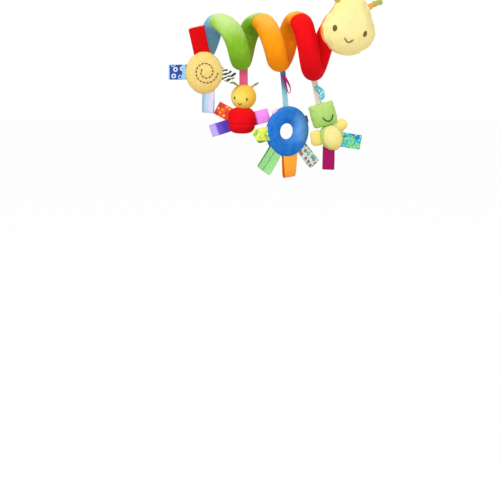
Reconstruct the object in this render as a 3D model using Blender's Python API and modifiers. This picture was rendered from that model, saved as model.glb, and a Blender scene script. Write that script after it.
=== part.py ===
# Hanging rattle toy: a padded four-colour spiral that winds round a bar, with a big
# smiling head at one end and four sewn toys hanging from it on ribbon straps.
# The origin is in the middle of the spiral's bore, +X runs along the bar to the head,
# the viewer is at -Y and +Z is up.
import math

import bmesh
import bpy
from mathutils import Matrix, Vector

MM = 0.001

# Cloth, seams and ribbon
COVER_WALL = 1.2 * MM
GAP = 0.3 * MM
STUFFING_GAP = 0.5 * MM
SEAM_SETBACK = 0.6 * MM
RIBBON_LAYER = 1 * MM
STRAP_THICKNESS = 1.6 * MM
STRAP_END_POINTS = 9
CUT_OVERRUN = 5 * MM

# The spiral, wound for a bar of this radius
BAR_RADIUS = 16.5 * MM
BAR_CLEARANCE = 0.5 * MM
TUBE_RADIAL_HALF = 13.5 * MM
TUBE_AXIAL_HALF = 17.3 * MM
PITCH = 62 * MM
FIRST_TOP_X = -81 * MM
LOOP_RADIUS = BAR_RADIUS + BAR_CLEARANCE + TUBE_RADIAL_HALF
LOOP_DEPTH_SHARE = 1.04
POINTS_PER_TURN = 16
STEP_MARGIN_SHARE = 0.35
TUBE_SIDES = 10
TAIL_TURN = -0.42
TAPER_TURNS = 0.09
TAIL_END_SHARE = 0.45
FULL_SHARE = 0.999
HEAD_TURN = 3.15
SEAM_TURNS = (-0.03, 1.02, 2.06)
APART_TURNS = 0.5
# Turns from the first top, against shares of the pitch along the bar
ADVANCE_SHARES = (
    (-0.5, -0.60), (-0.25, -0.30), (0, 0), (0.25, 0.44), (0.5, 0.57),
    (0.75, 0.70), (1, 1.05), (1.25, 1.38), (1.5, 1.58), (2, 2.02),
    (2.25, 2.26), (2.5, 2.47), (2.75, 2.78), (3, 3.28), (3.3, 3.62),
)
# Turns from the first top, against shares of the loop radius above or below the bar
HEIGHT_SHARES = (
    (-0.5, 1.0), (0, 1.0), (0.5, 1.08), (1, 1.03), (1.5, 1.17),
    (2, 1.1), (2.5, 1.64), (3, 1.08), (3.3, 1.0),
)

# The big head at the end of the spiral
HEAD_X = 123.5 * MM
HEAD_Z = 19.5 * MM
HEAD_HALF_WIDTH = 44.5 * MM
HEAD_HALF_DEPTH = 24 * MM
HEAD_RISE = 60 * MM
HEAD_DROP = 39 * MM
HEAD_BAR_GAP = 1.5 * MM
HEAD_Y = -(BAR_RADIUS + HEAD_BAR_GAP + HEAD_HALF_DEPTH)
HEAD_PINCH_SHARE = 0.34
HEAD_YAW = math.radians(14)
HEAD_LEAN = math.radians(11)
EYE_HALF_WIDTH = 3.4 * MM
EYE_HALF_HEIGHT = 5.2 * MM
EYE_THICKNESS = 1.2 * MM
EYE_SIDE_SHARE = 0.56
EYE_HEIGHT_SHARE = -0.02
FACE_SHIFT_SHARE = -0.08
SMILE_HALF_WIDTH_SHARE = 0.16
SMILE_HEIGHT_SHARE = -0.34
SMILE_DIP_SHARE = 0.13
SMILE_RADIUS = 0.7 * MM
SMILE_POINTS = 7
HEAD_FEELER_RADIUS = 4.2 * MM
HEAD_FEELER_LENGTH = 24 * MM
HEAD_FEELER_HEIGHT_SHARE = 0.66
HEAD_FEELER_ANGLES = (math.radians(47), math.radians(126))
FEELER_BEND_SHARE = 0.16

# The snail on its strap at the blue end
SNAIL_X = -105.6 * MM
SNAIL_Z = -50 * MM
SNAIL_HALF_WIDTH = 29 * MM
SNAIL_HALF_HEIGHT = 33.5 * MM
SNAIL_HALF_DEPTH = 11 * MM
SNAIL_STRAP_WIDTH = 26 * MM
SNAIL_STRAP_LEAN = math.radians(12.5)
SNAIL_STRAP_RISE = 3 * MM
SNAIL_STRAP_TUCK = 8 * MM
SNAIL_STRAP_SIDE_SHARE = -0.13
SNAIL_STITCH_START = math.radians(156)
SNAIL_SADDLE_BACK = 26 * MM
SNAIL_STITCH_RADIUS = 0.7 * MM
SNAIL_STITCH_TURNS = 1.54
SNAIL_STITCH_SHIFT_SHARE = 0.17
SNAIL_STITCH_SHARES = (0.24, 0.65)
SNAIL_STITCH_POINTS = 24
FILM_THICKNESS = 0.4 * MM
# Name, place round the rim, direction, length share, width share, colour
SNAIL_TAG_SHARES = (
    ("snail_tag_navy", 178, 180, 1.16, 1.2, "navy"),
    ("snail_tag_striped", -2, -22, 0.88, 0.95, "grey"),
    ("snail_tag_satin", -76, -90, 1.28, 1, "sky"),
)

# The bug with the rattle inside it
BUG_HANG_SHIFT = 3.5 * MM
BUG_STRAP_WIDTH = 14 * MM
BUG_STRAP_LENGTH = 22 * MM
BUG_HEAD_HALF_WIDTH = 20 * MM
BUG_HEAD_HALF_HEIGHT = 19.5 * MM
BUG_HEAD_HALF_DEPTH = 15 * MM
BUG_BODY_HALF_WIDTH = 21.2 * MM
BUG_BODY_HALF_HEIGHT = 20.5 * MM
BUG_BODY_HALF_DEPTH = 17 * MM
BUG_BODY_SIDE = -3 * MM
BUG_NECK_OVERLAP = 1.5 * MM
BUG_SQUARE_POWER = 3.4
BUG_FEELER_RADIUS = 1.7 * MM
BUG_FEELER_LENGTH = 14 * MM
# Name, place round the head, direction
BUG_FEELERS = (("right", 50, 45), ("left", 116, 138))
RATTLE_RADIUS = 12 * MM
RATTLE_WALL = 1.2 * MM
RATTLE_CLEARANCE = 0.6 * MM
BEAD_RADIUS = 2.6 * MM
BEAD_PLACES_SHARE = 0.5
BEAD_COUNT = 3
BUG_TAG_SHARES = (
    ("bug_tag_print", 149, 151, 0.8, 1, "orange"),
    ("bug_tag_satin", 208, 195, 1.12, 1, "purple"),
    ("bug_tag_pink", 15, 17, 0.76, 1, "pink"),
)

# The padded ring
RING_HANG_SHIFT = 4.8 * MM
RING_STRAP_WIDTH = 9 * MM
RING_STRAP_LENGTH = 55 * MM
RING_STRAP_LEAN = math.radians(-5.3)
RING_LOOP_LENGTH = 31 * MM
RING_LOOP_ANGLE = math.radians(-70)
RING_RADIUS = 40 * MM
RING_HOLE_RADIUS = 12.5 * MM
RING_HALF_DEPTH = 9 * MM
RING_YAW = math.radians(33)
RING_AROUND = 24
RING_SIDES = 10
RING_TAG_SHARES = (
    ("ring_tag_yellow", 187, 187, 1.04, 1.15, "lime"),
    ("ring_tag_leaf", 234, 232, 1.4, 1.25, "green"),
    ("ring_tag_orange", 279, 269, 1.48, 1.2, "orange"),
    ("ring_tag_floral", 316, 315, 1.36, 1, "aqua"),
    ("ring_tag_pale", 126, 124, 0.48, 0.75, "pink"),
    ("ring_tag_dark", 35, 35, 0.44, 0.6, "olive"),
)

# The frog, pulled to the right as photographed
FROG_HANG_SHIFT = 2 * MM
FROG_STRAP_WIDTH = 10 * MM
FROG_STRAP_LENGTH = 32 * MM
FROG_STRAP_LEAN = math.radians(-12)
FROG_LOOP_LENGTH = 25 * MM
FROG_LOOP_ANGLE = math.radians(-60)
FROG_LEAN = math.radians(-21)
FROG_HEAD_HALF_WIDTH = 21 * MM
FROG_HEAD_HALF_HEIGHT = 19 * MM
FROG_HEAD_HALF_DEPTH = 14 * MM
FROG_SQUARE_POWER = 3.6
FROG_BODY_HALF_WIDTH = 18.5 * MM
FROG_BODY_HALF_HEIGHT = 20 * MM
FROG_BODY_HALF_DEPTH = 14 * MM
FROG_NECK_OVERLAP = 1 * MM
FROG_EAR_RADIUS = 5 * MM
FROG_EAR_SIDE_SHARE = 0.78
FROG_EAR_HEIGHT_SHARE = 0.82
FROG_ARM_HALF_LENGTH = 10 * MM
FROG_ARM_HALF_DEPTH = 6 * MM
FROG_ARM_TUCK = 4.5 * MM
# Name, direction, half width as a share of the half length
FROG_ARMS = (("right", 28, 0.9), ("left", 167, 1.25))
SQUEAKER_RADIUS = 11 * MM
SQUEAKER_HALF_THICKNESS = 6 * MM
FROG_TAG_SHARES = (
    ("frog_tag_print", -36, -30, 1.24, 1.2, "aqua"),
    ("frog_tag_magenta", 240, 249, 1.44, 1, "magenta"),
)

# Ribbon tags and side loops; a tag's length and width are shares of these two
TAG_LENGTH = 25 * MM
TAG_WIDTH = 20 * MM
TAG_BULGE = 3 * MM
TAG_TUCK = 4 * MM
TAG_MOUTH_SHARE = 0.6
TAG_POINTS = 10
SIDE_LOOP_BULGE = 9 * MM
SIDE_LOOP_MOUTH_SHARE = 0.2
SIDE_LOOP_WIDTH = 5 * MM
SIDE_LOOP_DROP = 4.5 * MM

# Mesh fineness of the padded forms
FORM_AROUND = 16
FORM_UP = 8
HEAD_AROUND = 20
HEAD_UP = 10

COLOURS = {
    "blue": (0.10, 0.35, 0.72),
    "green": (0.32, 0.62, 0.09),
    "orange": (0.95, 0.42, 0.03),
    "red": (0.85, 0.02, 0.03),
    "cream": (0.95, 0.82, 0.32),
    "rust": (0.80, 0.30, 0.05),
    "gold": (0.90, 0.62, 0.18),
    "lime": (0.50, 0.75, 0.22),
    "olive": (0.18, 0.16, 0.04),
    "white": (0.85, 0.85, 0.82),
    "navy": (0.05, 0.12, 0.35),
    "sky": (0.62, 0.74, 0.92),
    "aqua": (0.35, 0.75, 0.78),
    "pink": (0.85, 0.30, 0.75),
    "purple": (0.30, 0.10, 0.55),
    "magenta": (0.50, 0.01, 0.22),
    "grey": (0.60, 0.58, 0.52),
    "clear": (0.80, 0.85, 0.88),
}


def clear_scene():
    for item in list(bpy.data.objects):
        bpy.data.objects.remove(item, do_unlink=True)


def new_collection(name):
    collection = bpy.data.collections.new(name)
    bpy.context.scene.collection.children.link(collection)
    return collection


def material_for(name, colour, roughness):
    material = bpy.data.materials.new(name + "_material")
    material.use_nodes = True
    shader = material.node_tree.nodes["Principled BSDF"]
    shader.inputs["Base Color"].default_value = (*COLOURS[colour], 1)
    shader.inputs["Roughness"].default_value = roughness
    shader.inputs["Metallic"].default_value = 0
    return material


def new_object(name, data, collection, parent=None):
    item = bpy.data.objects.new(name, data)
    collection.objects.link(item)
    item.parent = parent
    return item


def new_part(name, data, colour, parent=None, roughness=0.9):
    item = new_object(name, data, PARTS, parent)
    data.materials.clear()
    data.materials.append(material_for(name, colour, roughness))
    return item


def new_pivot(name, location, parent=None):
    pivot = new_object(name, None, PARTS, parent)
    pivot.location = location
    return pivot


def mesh_from(bm, name, smooth=True):
    mesh = bpy.data.meshes.new(name)
    bm.to_mesh(mesh)
    bm.free()
    if smooth:
        mesh.shade_smooth()
        mesh.set_sharp_from_angle(angle=math.radians(50))
    return mesh


def frozen_mesh(item, name):
    # The evaluated shape as a mesh in world space, with the caps welded on
    bpy.context.view_layer.update()
    graph = bpy.context.evaluated_depsgraph_get()
    mesh = bpy.data.meshes.new_from_object(item.evaluated_get(graph))
    mesh.transform(item.matrix_world)
    bm = bmesh.new()
    bm.from_mesh(mesh)
    bmesh.ops.remove_doubles(bm, verts=bm.verts, dist=0.01 * GAP)
    bmesh.ops.recalc_face_normals(bm, faces=bm.faces)
    bpy.data.meshes.remove(mesh)
    return mesh_from(bm, name)


def remove_item(item):
    bpy.data.objects.remove(item, do_unlink=True)


def as_cutter(name, mesh, parent=None):
    cutter = new_object(name, mesh, CUTTERS, parent)
    cutter.hide_render = True
    cutter.display_type = "WIRE"
    return cutter


def cut(item, cutter):
    boolean = item.modifiers.new("cut_by_" + cutter.name, "BOOLEAN")
    boolean.operation = "DIFFERENCE"
    boolean.solver = "EXACT"
    boolean.object = cutter


def shell(item, wall):
    solidify = item.modifiers.new("wall", "SOLIDIFY")
    solidify.thickness = wall
    solidify.offset = -1
    solidify.use_even_offset = False
    solidify.use_rim = True


def deflate(mesh, inset):
    # Moves every vertex inwards, along its normal
    normals = [vertex.normal.copy() for vertex in mesh.vertices]
    for vertex, normal in zip(mesh.vertices, normals):
        vertex.co -= normal * inset


def smooth_share(table, place):
    # A smooth curve through hand-chosen shares, with the slope of its neighbours at each
    index = 0
    while index < len(table) - 2 and place > table[index + 1][0]:
        index += 1
    (start, low), (end, high) = table[index], table[index + 1]
    before = table[max(index - 1, 0)]
    after = table[min(index + 2, len(table) - 1)]
    span = end - start
    slope_in = (high - before[1]) / (end - before[0]) * span
    slope_out = (after[1] - low) / (after[0] - start) * span
    t = (place - start) / span
    return (
        (2 * t**3 - 3 * t**2 + 1) * low
        + (t**3 - 2 * t**2 + t) * slope_in
        + (3 * t**2 - 2 * t**3) * high
        + (t**3 - t**2) * slope_out
    )


def padded_form(name, sizes, pinch=0, power=2, around=FORM_AROUND, up=FORM_UP):
    # A stuffed form with its seam in the XZ plane; sizes are half width, half depth, rise, drop
    half_width, half_depth, rise, drop = sizes
    bm = bmesh.new()
    turned = Matrix.Rotation(math.radians(90), 4, "X")
    bmesh.ops.create_uvsphere(
        bm, u_segments=around, v_segments=up, radius=1, matrix=turned
    )
    for vertex in bm.verts:
        x, y, z = vertex.co
        reach = math.hypot(x, z)
        square = 1
        if reach > 0:
            corner = abs(x / reach) ** power + abs(z / reach) ** power
            square = corner ** (-1 / power)
        narrow = 1 - pinch * max(z, 0)
        height = rise if z > 0 else drop
        vertex.co = (
            x * square * half_width * narrow,
            y * half_depth * narrow,
            z * square * height,
        )
    bm.normal_update()
    return mesh_from(bm, name)


def half_of(mesh, name, side):
    # The front half (side -1) or back half (side 1) of a closed form, open at its seam
    bm = bmesh.new()
    bm.from_mesh(mesh)
    bmesh.ops.bisect_plane(
        bm,
        geom=bm.verts[:] + bm.edges[:] + bm.faces[:],
        plane_co=(0, 0, 0),
        plane_no=(0, side, 0),
        clear_inner=True,
        dist=0.01 * GAP,
    )
    bmesh.ops.translate(bm, verts=bm.verts, vec=(0, side * SEAM_SETBACK, 0))
    return mesh_from(bm, name)


def rim_point(half_width, half_height, power, angle):
    # A place on the seam of a form
    corner = abs(math.cos(angle)) ** power + abs(math.sin(angle)) ** power
    square = corner ** (-1 / power)
    across = half_width * square * math.cos(angle)
    return Vector((across, 0, half_height * square * math.sin(angle)))


def cover_halves(name, mesh, names, colours, parent):
    # Front and back covers, as two sewn panels that meet at the seam
    for side, panel, colour in zip((-1, 1), names, colours):
        item = new_part(panel, half_of(mesh, panel, side), colour, parent)
        shell(item, COVER_WALL)


def poly_curve(name, points, cyclic=False, flat=False):
    curve = bpy.data.curves.new(name, "CURVE")
    curve.dimensions = "2D" if flat else "3D"
    curve.fill_mode = "NONE" if flat else "FULL"
    spline = curve.splines.new("POLY")
    spline.points.add(len(points) - 1)
    for target, point in zip(spline.points, points):
        target.co = (*point, 1)
    spline.use_cyclic_u = cyclic
    return curve


def ribbon(name, path, width, colour, parent):
    # A ribbon one layer thick, bent along a flat path and sewn by its first and last edge
    curve = poly_curve(name, [(x, y, 0) for x, y in path], flat=True)
    curve.extrude = width / 2
    item = new_part(name, curve, colour, parent, roughness=0.6)
    solidify = item.modifiers.new("layer", "SOLIDIFY")
    solidify.thickness = RIBBON_LAYER
    solidify.offset = 0
    return item


def loop_path(length, bulge, mouth_share):
    # Out along one layer, round the fold and back along the other
    path = []
    for step in range(TAG_POINTS + 1):
        angle = math.pi * step / TAG_POINTS
        swell = mouth_share + (1 - mouth_share) * math.sin(angle)
        path.append((length * math.sin(angle), bulge * math.cos(angle) * swell))
    return path


def tags_round(table, rim, parent, cutter):
    # Folded ribbon tags tucked into the seam of a form; their angles are in the XZ plane
    for name, degrees, direction, length_share, width_share, colour in table:
        reach = length_share * TAG_LENGTH + TAG_TUCK - RIBBON_LAYER / 2
        path = loop_path(reach, TAG_BULGE / 2, TAG_MOUTH_SHARE)
        loose = ribbon(name + "_loop", path, width_share * TAG_WIDTH, colour, None)
        mesh = frozen_mesh(loose, name)
        remove_item(loose)
        item = new_part(name, mesh, colour, parent, roughness=0.6)
        turn = Matrix.Rotation(-math.radians(direction), 4, "Y")
        edge = rim_point(*rim, math.radians(degrees))
        place = edge + turn @ Vector((-TAG_TUCK, 0, 0))
        item.matrix_local = Matrix.Translation(place) @ turn
        cut(item, cutter)


def strip(name, length, width, colour, parent):
    # A double ribbon strap that hangs down from the axis at its rounded top end
    radius = STRAP_THICKNESS / 2
    points = []
    for middle, start in ((0, 0), (-length, math.pi)):
        for step in range(5):
            angle = start + math.pi * step / 4
            points.append((radius * math.cos(angle), middle + radius * math.sin(angle), 0))
    curve = poly_curve(name, points, cyclic=True, flat=True)
    curve.fill_mode = "BOTH"
    curve.extrude = width / 2
    loose = new_object(name + "_outline", curve, CUTTERS)
    loose.matrix_local = Matrix(((0, 0, 1, 0), (1, 0, 0, 0), (0, 1, 0, 0), (0, 0, 0, 1)))
    mesh = frozen_mesh(loose, name)
    remove_item(loose)
    return new_part(name, mesh, colour, parent, roughness=0.6)


def swaying_strap(name, place, colour):
    # The frog's strap has a half-round top end about its axis, so that it can lean to a side
    half = FROG_STRAP_WIDTH / 2
    points = [(-half, -FROG_STRAP_LENGTH, 0), (half, -FROG_STRAP_LENGTH, 0)]
    for step in range(STRAP_END_POINTS):
        angle = math.pi * step / (STRAP_END_POINTS - 1)
        points.append((half * math.cos(angle), half * math.sin(angle), 0))
    curve = poly_curve(name, points, cyclic=True, flat=True)
    curve.fill_mode = "BOTH"
    curve.extrude = STRAP_THICKNESS / 2
    pivot = new_pivot(name + "_pivot", place)
    turn = Matrix.Rotation(FROG_STRAP_LEAN, 4, "Y")
    pivot.matrix_local = Matrix.Translation(place) @ turn
    item = new_part(name, curve, colour, pivot, roughness=0.6)
    item.matrix_local = Matrix.Rotation(math.radians(90), 4, "X")
    return place + turn @ Vector((0, 0, -FROG_STRAP_LENGTH - GAP))


def rod(name, points, radius, colour, parent):
    curve = poly_curve(name, points)
    curve.bevel_depth = radius
    curve.bevel_resolution = 1
    curve.use_fill_caps = True
    loose = new_object(name + "_route", curve, CUTTERS)
    mesh = frozen_mesh(loose, name)
    remove_item(loose)
    return new_part(name, mesh, colour, parent)


def feeler(name, place, angle, radius, length, colour, parent):
    # A short stuffed cord that leaves the head and bends over at its tip
    side = 1 if math.cos(angle) > 0 else -1
    points = []
    for step in range(6):
        along = length * step / 5
        sag = FEELER_BEND_SHARE * length * (step / 5) ** 2
        x = along * math.cos(angle) + side * sag
        z = along * math.sin(angle) - sag
        points.append(Vector(place) + Vector((x, 0, z)))
    return rod(name, points, radius, colour, parent)


def spiral_point(turn):
    angle = math.tau * turn
    return Vector((
        FIRST_TOP_X + PITCH * smooth_share(ADVANCE_SHARES, turn),
        -LOOP_RADIUS * LOOP_DEPTH_SHARE * math.sin(angle),
        LOOP_RADIUS * smooth_share(HEIGHT_SHARES, turn) * math.cos(angle),
    ))


def taper_share(turn):
    # The tail narrows over its last stretch, where the cover is gathered
    near = min((turn - TAIL_TURN) / TAPER_TURNS, 1)
    return TAIL_END_SHARE + (1 - TAIL_END_SHARE) * math.sin(near * math.pi / 2)


def section_guide():
    points = []
    for side in range(TUBE_SIDES):
        angle = math.tau * side / TUBE_SIDES
        x = TUBE_RADIAL_HALF * math.cos(angle)
        y = TUBE_AXIAL_HALF * math.sin(angle)
        points.append((x, y, 0))
    curve = poly_curve("tube_section", points, cyclic=True, flat=True)
    return as_cutter("tube_section", curve)


def tube_mesh(name, turns, section, spare=(), inset=None):
    # The tube is wound round its own Z axis, which then turns to lie along the bar.
    # A spare ring at an end gives the seam there its slant, and is then taken off.
    # Without an inset the tube is open, and with one it is drawn in and capped.
    points = [spiral_point(turn) for turn in turns]
    curve = poly_curve(name, [(-point.z, point.y, point.x) for point in points])
    curve.twist_mode = "Z_UP"
    curve.bevel_mode = "OBJECT"
    curve.bevel_object = section
    for spline_point, turn in zip(curve.splines[0].points, turns):
        spline_point.radius = taper_share(turn)
    item = new_object(name + "_route", curve, CUTTERS)
    item.rotation_euler = (0, math.radians(90), 0)
    mesh = frozen_mesh(item, name)
    remove_item(item)
    bm = bmesh.new()
    bm.from_mesh(mesh)
    rings = {"start": bm.verts[:TUBE_SIDES], "end": bm.verts[-TUBE_SIDES:]}
    spent = [vertex for end in spare for vertex in rings[end]]
    bmesh.ops.delete(bm, geom=spent, context="VERTS")
    if inset is not None:
        bm.normal_update()
        for vertex in bm.verts:
            vertex.co -= vertex.normal * inset
        bmesh.ops.holes_fill(bm, edges=bm.edges)
        bmesh.ops.recalc_face_normals(bm, faces=bm.faces)
    bpy.data.meshes.remove(mesh)
    return mesh_from(bm, name)


def turns_between(start, end):
    # The ends, and between them the even steps of a turn that include each lowest point
    first = math.ceil(start * POINTS_PER_TURN + STEP_MARGIN_SHARE)
    last = math.floor(end * POINTS_PER_TURN - STEP_MARGIN_SHARE)
    steps = [step / POINTS_PER_TURN for step in range(first, last + 1)]
    return [start, *steps, end]


def least_gap_to_itself(turns):
    # Between the surfaces of turns of the tube that are at least half a turn apart
    least = math.inf
    for index, turn in enumerate(turns):
        here = spiral_point(turn)
        for other in turns[index + 1:]:
            if other - turn >= APART_TURNS:
                there = spiral_point(other)
                apart = (here - there).length - 2 * TUBE_AXIAL_HALF
                least = min(least, apart)
    return least


def make_spiral(head_cutter):
    section = section_guide()
    half_gap = SEAM_SETBACK / 2 / (math.tau * LOOP_RADIUS)
    ends = (TAIL_TURN, *SEAM_TURNS, HEAD_TURN)
    runs = [turns_between(start, end) for start, end in zip(ends, ends[1:])]
    for index, colour in enumerate(("blue", "green", "orange", "red")):
        route = list(runs[index])
        spare = []
        if index > 0:
            route[0] += half_gap
            route.insert(0, runs[index - 1][-2])
            spare.append("start")
        if index < len(runs) - 1:
            route[-1] -= half_gap
            route.append(runs[index + 1][1])
            spare.append("end")
        name = "spiral_" + colour
        item = new_part(name, tube_mesh(name, route, section, spare), colour)
        shell(item, COVER_WALL)
        if colour == "red":
            cut(item, head_cutter)
    all_turns = runs[0] + runs[1][1:] + runs[2][1:] + runs[3][1:]
    tapered = sum(taper_share(turn) < FULL_SHARE for turn in all_turns)
    stuffed = all_turns[tapered - 1:]
    inset = COVER_WALL + STUFFING_GAP
    mesh = tube_mesh("spiral_stuffing", stuffed, section, ("start",), inset)
    item = new_part("spiral_stuffing", mesh, "white")
    cut(item, head_cutter)
    gap = least_gap_to_itself(all_turns)
    print(f"Spiral: least gap between turns {gap / MM:.1f} mm")
    return section


def head_matrix():
    place = Matrix.Translation((HEAD_X, HEAD_Y, HEAD_Z))
    lean = Matrix.Rotation(HEAD_LEAN, 4, "Y")
    return place @ lean @ Matrix.Rotation(HEAD_YAW, 4, "Z")


def head_form(name, grow=0):
    sizes = (HEAD_HALF_WIDTH, HEAD_HALF_DEPTH, HEAD_RISE, HEAD_DROP)
    mesh = padded_form(name, sizes, HEAD_PINCH_SHARE, 2, HEAD_AROUND, HEAD_UP)
    deflate(mesh, -grow)
    return mesh


def make_head_cutter():
    mesh = head_form("head_cutter", SEAM_SETBACK + GAP)
    cutter = as_cutter("head_cutter", mesh)
    cutter.matrix_local = head_matrix()
    return cutter


def head_front(side_share, height_share, lift):
    # A point this far in front of the face, at shares of the half width and the drop or rise
    narrow = 1 - HEAD_PINCH_SHARE * max(height_share, 0)
    depth = math.sqrt(max(1 - side_share**2 - height_share**2, 0))
    height = HEAD_RISE if height_share > 0 else HEAD_DROP
    x = side_share * HEAD_HALF_WIDTH * narrow
    y = -depth * HEAD_HALF_DEPTH * narrow - SEAM_SETBACK
    z = height_share * height
    normal = Vector((
        x / HEAD_HALF_WIDTH**2, y / HEAD_HALF_DEPTH**2, z / height**2
    )).normalized()
    return Vector((x, y, z)) + normal * lift, normal


def make_head(head_cutter):
    pivot = new_pivot("head_pivot", (0, 0, 0))
    pivot.matrix_local = head_matrix()
    outer = head_form("head_form")
    cover_halves("head", outer, ("head_face", "head_back"), ("cream", "rust"), pivot)
    inner = head_form("head_stuffing")
    deflate(inner, COVER_WALL + GAP)
    new_part("head_stuffing", inner, "white", pivot)
    bpy.data.meshes.remove(outer)
    make_eyes(pivot)
    points = []
    for step in range(SMILE_POINTS):
        across = 2 * step / (SMILE_POINTS - 1) - 1
        side = FACE_SHIFT_SHARE + across * SMILE_HALF_WIDTH_SHARE
        height = SMILE_HEIGHT_SHARE - SMILE_DIP_SHARE * (1 - across**2)
        point, normal = head_front(side, height, SMILE_RADIUS + GAP + GAP)
        points.append(point)
    rod("head_smile", points, SMILE_RADIUS, "olive", pivot)
    for side, angle, name in zip((1, -1), HEAD_FEELER_ANGLES, ("right", "left")):
        reach = math.cos(math.asin(HEAD_FEELER_HEIGHT_SHARE))
        narrow = 1 - HEAD_PINCH_SHARE * HEAD_FEELER_HEIGHT_SHARE
        x = side * reach * narrow * HEAD_HALF_WIDTH
        z = HEAD_FEELER_HEIGHT_SHARE * HEAD_RISE
        tuck = HEAD_FEELER_RADIUS
        place = (x - math.cos(angle) * tuck, 0, z - math.sin(angle) * tuck)
        item = feeler("head_feeler_" + name, place, angle, HEAD_FEELER_RADIUS,
                      HEAD_FEELER_LENGTH + tuck, "orange", pivot)
        cut(item, head_cutter)


def make_eyes(pivot):
    size = Matrix.Diagonal((EYE_HALF_WIDTH, EYE_HALF_HEIGHT, EYE_THICKNESS / 2, 1))
    for side, name in ((-1, "head_eye_left"), (1, "head_eye_right")):
        share = FACE_SHIFT_SHARE + side * EYE_SIDE_SHARE
        place, normal = head_front(share, EYE_HEIGHT_SHARE, EYE_THICKNESS / 2 + GAP)
        turn = normal.to_track_quat("Z", "Y").to_matrix().to_4x4()
        matrix = Matrix.Translation(place) @ turn @ size
        bm = bmesh.new()
        bmesh.ops.create_uvsphere(bm, u_segments=12, v_segments=6, radius=1, matrix=matrix)
        new_part(name, mesh_from(bm, name), "olive", pivot, roughness=0.5)


def make_snail(section):
    top = BAR_RADIUS + BAR_CLEARANCE + STRAP_THICKNESS / 2 + SNAIL_STRAP_RISE
    front = -(BAR_RADIUS + BAR_CLEARANCE + STRAP_THICKNESS / 2)
    reach = top - SNAIL_Z - SNAIL_HALF_HEIGHT
    side = SNAIL_STRAP_SIDE_SHARE * SNAIL_HALF_WIDTH
    x = SNAIL_X + side - reach * math.tan(SNAIL_STRAP_LEAN)
    lean = Matrix.Rotation(-SNAIL_STRAP_LEAN, 4, "Y")
    crease = new_pivot("snail_crease", (0, 0, 0))
    crease.matrix_local = Matrix.Translation((x, front, top)) @ lean
    strap_length = reach / math.cos(SNAIL_STRAP_LEAN) + SNAIL_STRAP_TUCK
    strap = strip("snail_strap", strap_length, SNAIL_STRAP_WIDTH, "red", crease)
    make_saddle(section, crease, front)
    pivot = new_pivot("snail_pivot", (SNAIL_X, front, SNAIL_Z))
    sizes = (SNAIL_HALF_WIDTH, SNAIL_HALF_DEPTH, SNAIL_HALF_HEIGHT, SNAIL_HALF_HEIGHT)
    grown_mesh = padded_form("snail_grown", sizes, around=HEAD_AROUND, up=HEAD_UP)
    deflate(grown_mesh, -GAP - SEAM_SETBACK)
    grown = as_cutter("snail_grown", grown_mesh, pivot)
    cut(strap, grown)
    outer = padded_form("snail_form", sizes, around=HEAD_AROUND, up=HEAD_UP)
    cover_halves("snail", outer, ("snail_front", "snail_back"), ("cream", "gold"), pivot)
    deflate(outer, COVER_WALL + GAP)
    film = half_of(outer, "snail_crinkle_film", -1)
    shell(new_part("snail_crinkle_film", film, "clear", pivot), FILM_THICKNESS)
    deflate(outer, FILM_THICKNESS + GAP)
    new_part("snail_stuffing", outer, "white", pivot)
    make_snail_stitching(pivot)
    rim = (SNAIL_HALF_WIDTH, SNAIL_HALF_HEIGHT, 2)
    tags_round(SNAIL_TAG_SHARES, rim, pivot, grown)


def make_saddle(section, crease, front):
    # The strap's upper part lies over the bar, from the blue end to the crease in front
    length = SNAIL_SADDLE_BACK - front - STRAP_THICKNESS - GAP
    bm = bmesh.new()
    bmesh.ops.create_cube(bm, size=1)
    bmesh.ops.scale(bm, verts=bm.verts, vec=(SNAIL_STRAP_WIDTH, length, STRAP_THICKNESS))
    middle = STRAP_THICKNESS / 2 + GAP + length / 2
    bmesh.ops.translate(bm, verts=bm.verts, vec=(0, middle, 0))
    saddle = new_part("snail_strap_upper", mesh_from(bm, "snail_strap_upper", False),
                      "red", crease, roughness=0.6)
    turns = turns_between(TAIL_TURN, SEAM_TURNS[0])
    blue = tube_mesh("blue_form", turns, section, inset=-GAP)
    cut(saddle, as_cutter("blue_form", blue))


def make_snail_stitching(pivot):
    points = []
    low, high = SNAIL_STITCH_SHARES
    for step in range(SNAIL_STITCH_POINTS):
        share = step / (SNAIL_STITCH_POINTS - 1)
        angle = SNAIL_STITCH_START + math.tau * SNAIL_STITCH_TURNS * share
        reach = low + (high - low) * share
        x = (SNAIL_STITCH_SHIFT_SHARE + reach * math.cos(angle)) * SNAIL_HALF_WIDTH
        z = reach * math.sin(angle) * SNAIL_HALF_WIDTH
        bulge = 1 - (x / SNAIL_HALF_WIDTH)**2 - (z / SNAIL_HALF_HEIGHT)**2
        depth = math.sqrt(bulge) * SNAIL_HALF_DEPTH
        points.append((x, -depth - SEAM_SETBACK - SNAIL_STITCH_RADIUS - GAP, z))
    rod("snail_stitching", points, SNAIL_STITCH_RADIUS, "olive", pivot)


def hanging_place(turn, shift, end_radius=STRAP_THICKNESS / 2):
    # The axis of a strap sewn under the lowest point of a turn of the spiral
    lowest = spiral_point(turn)
    drop = TUBE_RADIAL_HALF + GAP + end_radius
    return Vector((lowest.x + shift, 0, lowest.z - drop))


def strap_from(name, place, length, width, colour, lean=0):
    # A strap with its pivot on its hinge axis; returns the strap's lower end
    pivot = new_pivot(name + "_pivot", place)
    turn = Matrix.Rotation(lean, 4, "Y")
    pivot.matrix_local = Matrix.Translation(place) @ turn
    strip(name, length, width, colour, pivot)
    reach = length + STRAP_THICKNESS / 2 + GAP
    return place + turn @ Vector((0, 0, -reach))


def square_form(name, half_width, half_depth, half_height, power):
    sizes = (half_width, half_depth, half_height, half_height)
    return padded_form(name, sizes, power=power)


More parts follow.
